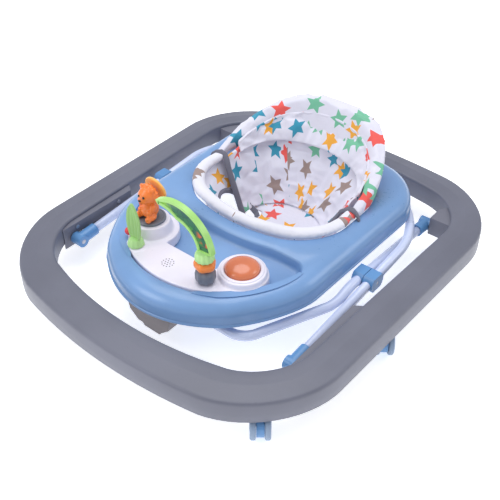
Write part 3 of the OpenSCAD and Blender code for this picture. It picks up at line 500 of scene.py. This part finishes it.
def blow(piece, pressure, cap, slack=0.05, held=None):
    """Blows a closed cloth up from rest; no point moves more than cap, and held points stay."""
    start = [vertex.co.copy() for vertex in piece.data.vertices]
    cloth = piece.modifiers.new("cloth", "CLOTH")
    cloth.settings.quality = 5
    cloth.settings.mass = 0.25
    cloth.settings.tension_stiffness = cloth.settings.compression_stiffness = 12
    cloth.settings.bending_stiffness = 0.4
    cloth.settings.use_pressure = True
    cloth.settings.uniform_pressure_force = pressure
    cloth.settings.shrink_min = -slack
    cloth.settings.effector_weights.gravity = 0
    cloth.collision_settings.use_collision = False
    cloth.collision_settings.use_self_collision = False
    if held:
        group = piece.vertex_groups.new(name="held")
        for index, weight in held.items():
            group.add([index], weight, "REPLACE")
        cloth.settings.vertex_group_mass = "held"
    scene = bpy.context.scene
    for step in range(1, 21):
        scene.frame_set(step)
    blown = piece.evaluated_get(bpy.context.evaluated_depsgraph_get()).to_mesh()
    moved = [vertex.co.copy() for vertex in blown.vertices]
    piece.evaluated_get(bpy.context.evaluated_depsgraph_get()).to_mesh_clear()
    piece.modifiers.remove(cloth)
    piece.vertex_groups.clear()
    scene.frame_set(1)
    for vertex, old, new in zip(piece.data.vertices, start, moved):
        step = new - old
        vertex.co = old + step * min(1.0, cap / max(step.length, 1e-9))


def soft_piece(name, mesh, finish, replaces=()):
    mesh.materials.clear()
    mesh.materials.append(finish.material)
    mesh.shade_smooth()
    piece = bpy.data.objects.new(name, mesh)
    bpy.context.scene.collection.objects.link(piece)
    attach(piece, "tray")
    if replaces:
        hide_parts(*replaces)
    return piece


def stuffed(name, node, finish, voxel, cap, pressure, draw_in=0.001):
    """A stuffed piece in place of a packed soft solid: merged, remeshed, drawn in and blown up."""
    bm = bmesh.new()
    bm.from_mesh(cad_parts[node].data)
    bmesh.ops.remove_doubles(bm, verts=bm.verts, dist=0.00002)
    rough = bpy.data.meshes.new(name + "_rough")
    bm.to_mesh(rough)
    bm.free()
    blank = bpy.data.objects.new(name + "_blank", rough)
    bpy.context.scene.collection.objects.link(blank)
    even = blank.modifiers.new("even", "REMESH")
    even.mode = "VOXEL"
    even.voxel_size = voxel
    mesh = bpy.data.meshes.new_from_object(
        blank.evaluated_get(bpy.context.evaluated_depsgraph_get()))
    mesh.name = name
    bpy.data.objects.remove(blank)
    normals = [vertex.normal.copy() for vertex in mesh.vertices]
    for vertex, normal in zip(mesh.vertices, normals):
        vertex.co -= normal * draw_in
    piece = soft_piece(name, mesh, finish, [node])
    blow(piece, pressure, cap)
    bm = bmesh.new()
    bm.from_mesh(mesh)
    bmesh.ops.smooth_vert(bm, verts=bm.verts, factor=0.5, use_axis_x=True, use_axis_y=True,
                          use_axis_z=True)
    bm.to_mesh(mesh)
    bm.free()
    lay_cloth(mesh)
    rounded = piece.modifiers.new("rounded", "SUBSURF")
    rounded.levels = rounded.render_levels = 1
    return piece


seat_print = printed_cotton("seat_cloth", (228, 227, 241), False)
roll_print = printed_cotton("roll_cloth", (234, 234, 244), True)

# Seat bucket, rim roll and backrest. Polyester wadding between two layers of the printed cotton; the
# bucket hangs from the tray, the roll covers the opening's edge and the backrest stands on the tray.
stuffed("seat_bucket_cloth", "seat_bucket", seat_print, 0.0035, 0.003, 3.0)
stuffed("seat_rim_roll_cloth", "seat_rim_roll", roll_print, 0.0035, 0.005, 6.0, -0.0016)
stuffed("backrest_cloth", "backrest_pad", seat_print, 0.0042, 0.006, 6.0)

# Back panel and headrest panel. The back panel is sewn through in six upright channels and runs from
# the crotch to the fold; the headrest panel hangs over it from the padded top edge.
bucket_floor_plan = (82, 82, -14, 150, 12, 16, 50, 56)
seat_rim_z, bucket_floor_z, back_top_z = 119, 28, 218
back_lean = 40
back_front_y = 80
back_low_z = 130
back_slope = (back_top_z - back_low_z) / (seat_plan[3] + back_lean - back_front_y)
lean_rate = back_lean / (back_top_z - seat_rim_z)
back_top_rise = back_slope / (1 - back_slope * lean_rate)
back_first_top = (back_low_z - back_slope * (lean_rate * seat_rim_z + back_front_y)) / (
    1 - back_slope * lean_rate)
channels = 6
fold_share = 0.24


def sampled(line, share):
    """A point on the run of an outline that goes round the rear, for a share of 0 to 1."""
    spot = share * (len(line) - 1)
    index = min(int(spot), len(line) - 2)
    return line[index].lerp(line[index + 1], spot - index)


def round_rear(shape, inset, first_y):
    """The part of an outline behind first_y, right to left, at even steps along the seat's opening."""
    whole = plan_line(seat_plan, 18)
    inside = [i for i, p in enumerate(whole) if p.y > first_y]
    line = [plan_line(shape, inset)[i] for i in inside]
    guide = [whole[i] for i in inside]
    lengths = [0.0]
    for before, after in zip(guide, guide[1:]):
        lengths.append(lengths[-1] + (after - before).length)
    even = []
    for step in range(61):
        reach = lengths[-1] * step / 60
        index = max(i for i in range(len(lengths)) if lengths[i] <= reach + 1e-6)
        index = min(index, len(lengths) - 2)
        share = (reach - lengths[index]) / (lengths[index + 1] - lengths[index])
        even.append(line[index].lerp(line[index + 1], share))
    return even


def wall_point(rim_line, floor_line, share, z):
    """A point of the seat's inner wall at a height z."""
    rim = sampled(rim_line, share)
    if z >= seat_rim_z:
        lean = back_lean * (z - seat_rim_z) / (back_top_z - seat_rim_z)
        return Vector((rim.x, rim.y + lean, z)) * MM
    foot = sampled(floor_line, share)
    rise = (z - bucket_floor_z) / (seat_rim_z - bucket_floor_z)
    spot = foot.lerp(rim, rise)
    return Vector((spot.x, spot.y, z)) * MM


def quilted(name, wide, high, surface, flat, held, thick, pressure, cap):
    """A flat cut panel: a grid laid on a surface, given a back, and blown up between its seams."""
    bm = bmesh.new()
    bmesh.ops.create_grid(bm, x_segments=wide, y_segments=high, size=0.5)
    half = max(vertex.co.x for vertex in bm.verts)
    shares = [(vertex.co.x / half / 2 + 0.5, vertex.co.y / half / 2 + 0.5) for vertex in bm.verts]
    for vertex, (across, up) in zip(bm.verts, shares):
        vertex.co = surface(across, up)
    bmesh.ops.recalc_face_normals(bm, faces=bm.faces)
    sheet = bpy.data.meshes.new(name + "_cut")
    bm.to_mesh(sheet)
    bm.free()
    blank = bpy.data.objects.new(name + "_blank", sheet)
    bpy.context.scene.collection.objects.link(blank)
    back = blank.modifiers.new("back", "SOLIDIFY")
    back.thickness = thick
    back.offset = 0
    mesh = bpy.data.meshes.new_from_object(
        blank.evaluated_get(bpy.context.evaluated_depsgraph_get()))
    mesh.name = name
    bpy.data.objects.remove(blank)
    piece = soft_piece(name, mesh, seat_print, ())
    count = len(shares)
    blow(piece, pressure, cap, 0.08, {i: 1.0 for i in range(len(mesh.vertices))
                                      if held(*shares[i % count])})

    def place(index, corners):
        middle = sum(shares[corner % count][0] for corner in corners) / len(corners)
        return flat(*shares[index % count], middle)

    lay_cloth(mesh, place)
    rounded = piece.modifiers.new("rounded", "SUBSURF")
    rounded.levels = rounded.render_levels = 1
    return piece


def panel_fold(rim_y):
    """Height of the fold between back panel and headrest, by the wall's depth in the seat."""
    edge = back_first_top + back_top_rise * rim_y
    return seat_rim_z + fold_share * (edge - seat_rim_z), edge


back_rim = round_rear(seat_plan, 23.5, back_front_y - 4)
back_floor = round_rear(bucket_floor_plan, 11.5, back_front_y - 4)
panel_low = 33
channel_lines = 48


def back_surface(across, up):
    fold = panel_fold(sampled(back_rim, across).y)[0] + 5
    return wall_point(back_rim, back_floor, across, panel_low + (fold - panel_low) * up)


def back_flat(across, up, middle):
    channel = min(int(middle * channels), channels - 1)
    height = back_surface(across, up).z
    breadth = 0.052 + 0.035 * up
    return (channel * 0.083 + (across * channels - channel - 0.5) * breadth, height * 1.1 + channel * 0.029)


def back_held(across, up):
    column = round(across * channel_lines)
    return column % (channel_lines // channels) == 0 or up < 0.01 or up > 0.99


quilted("seat_back_panel", channel_lines, 30, back_surface, back_flat, back_held, 0.004, 9.0, 0.006)

head_rim_low = round_rear(seat_plan, 30, back_front_y + 16)
head_rim_high = round_rear(seat_plan, 21, back_front_y + 16)


def head_surface(across, up):
    fold, edge = panel_fold(sampled(head_rim_low, across).y)
    z = fold - 3 + (edge - 8 - fold) * up
    low = wall_point(head_rim_low, head_rim_low, across, z)
    high = wall_point(head_rim_high, head_rim_high, across, z)
    return low.lerp(high, min(1.0, up * 1.4))


def head_flat(across, up, middle):
    return ((across - 0.5) * 0.40 + 0.021, head_surface(across, up).z * 1.1 + 0.017)


quilted("seat_headrest_panel", 70, 12, head_surface, head_flat,
        lambda across, up: up > 0.99 or up < 0.01 or abs(across - 0.5) > 0.49, 0.005, 9.0, 0.005)

# Leg hole bindings. Grey cotton tape folded over each leg hole's cut edge, and a strap of it that
# runs from over the rim roll down the side edge of the back panel. Both are sewn on.
leg_hole_middle = Vector((50, 52, 27)) * MM
leg_hole_way = Vector((0.9794, -0.1727, 0.1045)).normalized()
leg_hole_reach = 0.0432
tape_half_width, tape_half_depth, tape_lift = 0.0046, 0.0058, 0.002
tape_sides = 12
edge_spots = 56
look_from = 0.03
wall_min_x, wall_min_z = 0.06, 0.026

binding_grey = Finish("binding_grey", 0.9, Sheen_Weight=0.1)
binding_place = binding_grey.place()
twill = binding_grey.node("ShaderNodeTexWave", {"bands_direction": "DIAGONAL"},
                          {"Vector": binding_place, "Scale": 700.0, "Distortion": 1.0})
rub = binding_grey.noise(60.0, 4.0, binding_place)
binding_grey.set("Base Color", binding_grey.mix(rub, rgb(104, 104, 120), rgb(124, 124, 139)))
binding_grey.set("Roughness", rub * 0.15 + 0.78)
binding_grey.bump(twill * 0.6 + rub, 0.0004)


def swept(bm, path, sides, half_width, half_depth, closed, facing):
    """A flat oval tape swept along a path; facing gives the direction of its half_width there."""
    rows = []
    for i, spot in enumerate(path):
        before = path[i - 1] if closed or i else path[i]
        after = path[(i + 1) % len(path)] if closed or i + 1 < len(path) else path[i]
        along = (after - before).normalized()
        wide = facing(spot)
        wide = (wide - along * wide.dot(along)).normalized()
        deep = along.cross(wide)
        ring = [spot + wide * half_width * math.cos(2 * math.pi * k / sides)
                + deep * half_depth * math.sin(2 * math.pi * k / sides) for k in range(sides)]
        next_row(bm, rows, ring)
    if closed:
        bmesh.ops.bridge_loops(bm, edges=hoop_edges(rows[-1]) + hoop_edges(rows[0]))
    else:
        for row in (rows[0], rows[-1]):
            bmesh.ops.triangle_fill(bm, use_beauty=True, edges=hoop_edges(row))


def hole_edge():
    """The middle of the bucket's wall round the right leg hole, found by looking along the hole."""
    wall_mesh = bmesh.new()
    wall_mesh.from_mesh(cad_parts["seat_bucket"].data)
    wall = BVHTree.FromBMesh(wall_mesh)
    wall_mesh.free()
    side = leg_hole_way.cross(Vector((0, 0, 1))).normalized()
    up = side.cross(leg_hole_way)
    path = []
    for k in range(edge_spots):
        turn = 2 * math.pi * k / edge_spots
        start = leg_hole_middle + (side * math.cos(turn) + up * math.sin(turn)) * leg_hole_reach
        spot = wall.ray_cast(start - leg_hole_way * look_from, leg_hole_way)[0]
        if spot and spot.x > wall_min_x and spot.z > wall_min_z:
            path.append((k, spot + leg_hole_way * tape_lift))
    gap = next((i for i in range(len(path)) if path[i][0] - path[i - 1][0] not in (1, 1 - edge_spots)), 0)
    return [spot for _, spot in path[gap:] + path[:gap]]


edge_path = hole_edge()
if edge_path[0].y > edge_path[-1].y:
    edge_path.reverse()
front_end, rear_end = edge_path[0], edge_path[-1]
floor_edge = [Vector((51.5, y, 25.0)) * MM for y in (88, 76, 64, 52, 40, 28, 16)]
corner_drop = Vector((0, 0, 0.003))
edge_path += [rear_end.lerp(floor_edge[0], 0.5) - corner_drop, *floor_edge,
              floor_edge[-1].lerp(front_end, 0.5) - corner_drop]
for _ in range(3):
    edge_path = [(edge_path[i - 1] + edge_path[i] * 2 + edge_path[(i + 1) % len(edge_path)]) / 4
                 for i in range(len(edge_path))]
strap_half_width, strap_half_depth = 0.0056, 0.0026
strap_path = [Vector(spot) * MM for spot in (
    (156, 78, 116), (152.5, 78.5, 124), (147, 79, 129.5), (139, 80, 131.5), (131, 82, 128))]
strap_stand_off = Vector((-0.003, -0.004, 0))
strap_path += [back_surface(0.0, up) + strap_stand_off
               for up in (0.94, 0.82, 0.68, 0.54, 0.4, 0.26, 0.13, 0.02)]
for side_name, flip in (("right", 1), ("left", -1)):
    tape_mesh = bmesh.new()
    mirror = Matrix.Diagonal((flip, 1, 1, 1))
    swept(tape_mesh, [mirror @ spot for spot in edge_path], tape_sides, tape_half_width, tape_half_depth,
          True, lambda spot: spot - mirror @ leg_hole_middle)
    swept(tape_mesh, [mirror @ spot for spot in strap_path], tape_sides, strap_half_width,
          strap_half_depth, False, lambda spot: Vector((-0.6 * flip, 1, 0)))
    bmesh.ops.recalc_face_normals(tape_mesh, faces=tape_mesh.faces)
    finished("leg_binding_" + side_name, tape_mesh, binding_grey, "tray", sharp=80)

# Toy panel. A white moulding with soft edges, a pod under the turntable, a pod round the dome button
# and a cluster of small sound holes over the speaker, drawn as dark discs: painted shade for the holes'
# insides.
def merged_copy(*names):
    bm = bmesh.new()
    for name in names:
        bm.from_mesh(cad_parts[name].data)
    bmesh.ops.remove_doubles(bm, verts=bm.verts, dist=0.00001)
    return bm


def softened(name, bm, finish, body, replaces, voxel, rounds):
    """Closed shapes made one by a voxel remesh, with their edges and joins smoothed."""
    rough = bpy.data.meshes.new(name + "_rough")
    bm.to_mesh(rough)
    bm.free()
    blank = bpy.data.objects.new(name + "_blank", rough)
    bpy.context.scene.collection.objects.link(blank)
    even = blank.modifiers.new("even", "REMESH")
    even.mode = "VOXEL"
    even.voxel_size = voxel
    eased = blank.modifiers.new("eased", "SMOOTH")
    eased.factor = 0.5
    eased.iterations = rounds
    mesh = bpy.data.meshes.new_from_object(
        blank.evaluated_get(bpy.context.evaluated_depsgraph_get()))
    bpy.data.objects.remove(blank)
    soft = bmesh.new()
    soft.from_mesh(mesh)
    return finished(name, soft, finish, body, replaces, sharp=180)


def turned(name, profile, centre, finish, body, replaces=(), steps=72, lobes=0, lobe_depth=0.0):
    """A piece turned about an upright axis from a profile of (radius, height); lobes flute its side."""
    bm = bmesh.new()
    verts = [bm.verts.new((radius * MM, 0, height * MM)) for radius, height in profile]
    edges = [bm.edges.new(pair) for pair in zip(verts, verts[1:])]
    bmesh.ops.spin(bm, geom=verts + edges, cent=(0, 0, 0), axis=(0, 0, 1), angle=2 * math.pi,
                   steps=steps, use_merge=True)
    bmesh.ops.remove_doubles(bm, verts=bm.verts, dist=0.000005)
    for vert in bm.verts:
        reach = math.hypot(vert.co.x, vert.co.y)
        if lobes and reach > 0.006:
            ease = 1 + lobe_depth * math.cos(lobes * math.atan2(vert.co.y, vert.co.x))
            vert.co.x *= ease
            vert.co.y *= ease
        vert.co += Vector(centre) * MM
    return finished(name, bm, finish, body, replaces, sharp=40)


panel_white = moulded("panel_white", (233, 230, 244), 0.3, Coat_Weight=0.2)
panel_top = 119
dome_middle = (94, -141, 128.0)
softened("toy_panel_moulding", merged_copy("toy_panel"), panel_white, "tray", ["toy_panel"],
         0.0014, 9)
carry(panel_white, "arch_post", "red_bead_pin", edge=0.0003)
# The sound holes are flat dark discs on the panel's top; their dark grey is painted shade standing in for the
# inside of each hole.
painted_hole_shade = moulded("painted_hole_shade", (74, 74, 86), 0.8)
hole_shade_mesh = bmesh.new()
for radius, count in ((0, 1), (4.5, 6), (9, 12)):
    for k in range(count):
        spot = Matrix.Rotation(2 * math.pi * k / count, 4, "Z") @ Vector((radius, 0, 0))
        bmesh.ops.create_cone(hole_shade_mesh, cap_ends=True, segments=16, radius1=0.0011, radius2=0.0009,
                              depth=0.0005, matrix=Matrix.Translation(
                                  (Vector((-8, -192, panel_top - 0.1)) + spot) * MM))
finished("sound_hole_shade", hole_shade_mesh, painted_hole_shade, "tray")
bezel_profile = [(26.8, -3), (26.8, 0.4), (27.6, 1.4), (29, 1.9), (31, 1.9), (32.4, 1.3), (33, 0.2), (33, -3)]
turned("dome_bezel", bezel_profile, dome_middle, panel_white, "tray")

# Dome button. Salmon coloured and slightly clear, pressed down against a spring.
dome_salmon = Finish("dome_salmon", 0.24, Coat_Weight=0.5, Coat_Roughness=0.1)
depth_tone = dome_salmon.noise(30.0, 2.0)
dome_salmon.set("Base Color", dome_salmon.mix(depth_tone, rgb(212, 112, 72), rgb(225, 131, 88)))
dome_salmon.set("Roughness", depth_tone * 0.12 + 0.18)
dome_salmon.bump(dome_salmon.noise(300.0, 2.0), 0.00003)
dome_r, dome_rise, dome_edge, dome_base = 26, 11.6, 1.2, -3.6
dome_profile = [(0, 12.8)] + [(dome_r * math.sin(a), dome_edge + dome_rise * math.cos(a))
                              for a in (math.pi / 2 * k / 12 for k in range(1, 13))]
dome_profile += [(dome_r, dome_base), (0, dome_base)]
turned("dome_cap", dome_profile, dome_middle, dome_salmon, "dome", ["dome_button"])

# Sound unit under the panel: speaker, circuit board and two cells.
speaker_black = moulded("speaker_black", (40, 41, 46), 0.6)
carry(speaker_black, "speaker", edge=0.0004)
board_green = moulded("board_green", (44, 112, 74), 0.5, grain=1500.0, grain_depth=0.0002)
carry(board_green, "circuit_board", edge=0.0003)
cell_wrap = moulded("cell_wrap", (172, 140, 66), 0.35, Coat_Weight=0.4)
carry(cell_wrap, "batteries", edge=0.0004)

# Turntable. A grey disc with turned grooves carries the seated cub and a yellow disc behind its head.
toy_grey = moulded("toy_grey", (112, 117, 130), 0.38)
plate_profile = [(0, 2.5), (11, 2.5), (11.6, 1.9), (12.4, 1.9), (13, 2.5), (19, 2.5), (19.6, 1.9),
                 (20.4, 1.9), (21, 2.5), (22.8, 2.5), (23.8, 2.0), (24, 1.2), (24, -1), (4, -1),
                 (4, -14), (0, -14)]
turned("turntable_plate", plate_profile, (-87, -146, 140.0), toy_grey, "turntable",
       ["turntable_disc"])
disc_yellow = moulded("disc_yellow", (250, 184, 92), 0.34, Coat_Weight=0.2)
carry(disc_yellow, "figure_disc", edge=0.0014)

cub_middle = Vector((-87, -146, 142.9))
cub_orange = moulded("cub_orange", (246, 128, 52), 0.36, Coat_Weight=0.25)
cub_black = moulded("cub_black", (28, 24, 26), 0.25, Coat_Weight=0.5)
cub_red = moulded("cub_red", (206, 40, 48), 0.35)


def ball(bm, place, size, steps=24):
    """A ball or egg of a toy: its middle and its three half sizes, from the cub's base."""
    matrix = Matrix.Translation((cub_middle + Vector(place)) * MM) @ Matrix.Diagonal(
        (*(Vector(size) * MM), 1.0))
    bmesh.ops.create_uvsphere(bm, u_segments=steps, v_segments=steps // 2, radius=1.0, matrix=matrix)


cub_mesh = bmesh.new()
ball(cub_mesh, (0, 1, 15), (14, 13, 15))
ball(cub_mesh, (0, -4, 12), (11, 11, 11))
ball(cub_mesh, (0, -4, 40), (14.5, 13.5, 13.5))
ball(cub_mesh, (0, -15.5, 36), (6.5, 5, 4.6))
ball(cub_mesh, (0, -1, 28), (10.5, 9.5, 7))
for way in (-1, 1):
    ball(cub_mesh, (10.5 * way, -8, 5.5), (6.2, 10, 5.5))
    ball(cub_mesh, (11.5 * way, -16.5, 5.6), (5.2, 4.6, 5.5))
    ball(cub_mesh, (12 * way, -4, 21), (4.6, 5.6, 7.5))
    ball(cub_mesh, (9.5 * way, -11, 14), (4.2, 4.6, 5.5))
    ball(cub_mesh, (10.5 * way, -2, 52), (4.6, 3.4, 4.6))
    ball(cub_mesh, (4.6 * way, -14.6, 36.6), (3.9, 3.6, 3.4))
for k in range(14):
    turn = 2 * math.pi * k / 14
    ball(cub_mesh, (14.5 * math.cos(turn), 1.5, 40 + 13.8 * math.sin(turn)), (4, 5.4, 4), 12)
for k in range(7):
    turn = math.pi * (0.15 + 0.7 * k / 6)
    ball(cub_mesh, (10 * math.cos(turn), -7, 40 + 12 * math.sin(turn)), (3, 3.6, 3.2), 12)
softened("cub", cub_mesh, cub_orange, "turntable", ["toy_figure"], 0.0011, 2)
face_mesh = bmesh.new()
for way in (-1, 1):
    ball(face_mesh, (4.8 * way, -15.9, 43.6), (2.0, 1.5, 2.4))
ball(face_mesh, (0, -20.0, 38.6), (2.7, 1.8, 1.9))
finished("cub_eyes_and_nose", face_mesh, cub_black, "turntable")
mouth_mesh = bmesh.new()
ball(mouth_mesh, (0, -18.2, 33.2), (3.0, 2.0, 1.5))
finished("cub_mouth", mouth_mesh, cub_red, "turntable")

# Toy arch. A light green hoop, moulded with a rim round a sunk band on each face; the band carries a
# leaf print. It plugs into a fluted foot over an orange and a grey spinning bead.
arch_green = moulded("arch_green", (168, 222, 122), 0.34, Coat_Weight=0.2)
arch_print = Finish("arch_print", 0.3, Coat_Weight=0.4)
print_place = arch_print.place()
patch = arch_print.node("ShaderNodeTexVoronoi", {"feature": "F1"}, {"Vector": print_place, "Scale": 95.0}, 1)
vein = arch_print.node("ShaderNodeTexVoronoi", {"feature": "DISTANCE_TO_EDGE"},
                       {"Vector": print_place, "Scale": 95.0}, 0)
blot = arch_print.noise(55.0, 2.0, print_place)
across, height = arch_print.axis(print_place, 0), arch_print.axis(print_place, 2)
leafy = arch_print.mix(arch_print.axis(patch, 0), rgb(24, 84, 84), rgb(58, 142, 62))
leafy = arch_print.mix(arch_print.step(vein, 0.06, 0.02) * 0.5, leafy, rgb(16, 58, 62))
leafy = arch_print.mix(arch_print.step(across - blot * 0.02, -0.002, -0.012), leafy, rgb(126, 190, 44))
fruit = arch_print.step(blot, 0.5, 0.56) * arch_print.step(across, 0.052, 0.06) * arch_print.step(
    height, 0.186, 0.19) * arch_print.step(height, 0.214, 0.208)
arch_print.set("Base Color", arch_print.mix(fruit, leafy, rgb(214, 104, 52)))
arch_print.set("Roughness", blot * 0.1 + 0.25)
arch_print.bump(vein, 0.0003)
arch_middle, arch_r, arch_band, arch_half = Vector((14.5, -189, 171)), 68, 27, 4.5
arch_first, arch_last, arch_steps = 6.0, 122.0, 30
arch_mesh = bmesh.new()
bmesh.ops.create_grid(arch_mesh, x_segments=arch_steps, y_segments=1, size=0.5)
grid_half = max(vert.co.x for vert in arch_mesh.verts)
for vert in arch_mesh.verts:
    turn = arch_first + (arch_last - arch_first) * (vert.co.x / grid_half / 2 + 0.5)
    width = arch_band * min(1.0, (arch_last + 12 - turn) / 48)
    reach = arch_r - (width if vert.co.y < 0 else 0)
    turn = math.radians(turn)
    vert.co = (arch_middle + Vector((math.cos(turn) * reach, -arch_half, math.sin(turn) * reach))) * MM
thick = bmesh.ops.extrude_face_region(arch_mesh, geom=list(arch_mesh.faces))["geom"]
bmesh.ops.translate(arch_mesh, vec=(0, 2 * arch_half * MM, 0),
                    verts=[part for part in thick if isinstance(part, bmesh.types.BMVert)])
bmesh.ops.recalc_face_normals(arch_mesh, faces=arch_mesh.faces)
for way in (-1, 1):
    side_faces = [face for face in arch_mesh.faces if face.normal.y * way > 0.9]
    bmesh.ops.inset_region(arch_mesh, faces=side_faces, thickness=0.0042, depth=0.0)
    side_faces = [face for face in side_faces if face.is_valid]
    bmesh.ops.inset_region(arch_mesh, faces=side_faces, thickness=0.0006, depth=-0.0014)
    for face in side_faces:
        face.material_index = 1
arch = finished("toy_arch_hoop", arch_mesh, arch_green, "tray", ["toy_arch"], sharp=50)
arch.data.materials.append(arch_print.material)
arch_round = arch.modifiers.new("rounded", "BEVEL")
arch_round.width = 0.0009
arch_round.segments = 3
arch_round.limit_method = "ANGLE"
arch_round.angle_limit = math.radians(40)
foot_green = moulded("foot_green", (182, 228, 150), 0.36)
post_x, post_y, bead_low = 65, -189, 121.4
round_steps = 96
foot_profile = [(0, 15), (8, 15), (11.4, 14), (13, 11), (14.2, 6), (14.4, 2), (13.2, 0.2), (11, 0),
                (4.1, 0)]
turned("arch_foot_cup", foot_profile, (post_x, post_y, 162.2), foot_green, "tray",
       ["arch_foot"], round_steps, 12, 0.035)
bead_orange = moulded("bead_orange", (242, 134, 52), 0.32, Coat_Weight=0.3)
orange_profile = [(4.2, 0), (11, 0.1), (14.4, 2.4), (15.8, 6), (15.8, 10), (14.4, 13.6), (11, 15.8),
                  (4.2, 16)]
turned("orange_spinner", orange_profile, (post_x, post_y, 145.8), bead_orange, "orange_ring",
       ["orange_bead"], round_steps, 5, 0.055)
grey_profile = [(4.2, 0), (10.5, 0.1), (13.4, 2.6), (14.6, 7), (14.6, 17), (13.4, 21.4), (10.5, 23.8),
                (4.2, 24)]
turned("grey_spinner", grey_profile, (post_x, post_y, bead_low), toy_grey, "grey_ring",
       ["grey_bead"], round_steps, 8, 0.05)

# Leaf. A ribbed pale green leaf stands in a fluted knob and turns with it; a small red bead spins on
# a pin beside it.
leaf_green = moulded("leaf_green", (156, 200, 122), 0.4)
leaf_x, leaf_y = -74, -193
knob_profile = [(0, 13), (6, 13), (9, 12), (11, 8.4), (12.4, 4), (13, 0.8), (12.2, 0), (4, 0),
                (4, -4.5), (0, -4.5)]
turned("leaf_cup", knob_profile, (leaf_x, leaf_y, bead_low), foot_green, "leaf",
       ["leaf_knob"], round_steps, 10, 0.04)
leaf_foot, leaf_tall, leaf_half = Vector((leaf_x, leaf_y, 133)), 64, 14.5
leaf_mesh = bmesh.new()
bmesh.ops.create_grid(leaf_mesh, x_segments=28, y_segments=24, size=0.5)
grid_half = max(vert.co.x for vert in leaf_mesh.verts)
for vert in leaf_mesh.verts:
    side, rise = vert.co.x / grid_half, vert.co.y / grid_half / 2 + 0.5
    spread = leaf_half * math.sin(math.pi * min(1.0, 0.16 + 0.84 * rise)) ** 0.6
    spread = max(spread, 0.6)
    rib = 0.7 * math.cos(side * math.pi * 4) * math.sin(math.pi * rise)
    vert.co = (leaf_foot + Vector((side * spread, rib + 1.5 * (1 - side * side) - 1, rise * leaf_tall))) * MM
leaf = finished("leaf_blade_ribbed", leaf_mesh, leaf_green, "leaf", ["leaf_blade"], sharp=60)
leaf_wall = leaf.modifiers.new("wall", "SOLIDIFY")
leaf_wall.thickness = 0.0034
leaf_wall.offset = 0
leaf_round = leaf.modifiers.new("rounded", "SUBSURF")
leaf_round.levels = leaf_round.render_levels = 1
bead_red = moulded("bead_red", (214, 48, 56), 0.3, Coat_Weight=0.3)
carry(bead_red, "red_bead", edge=0)
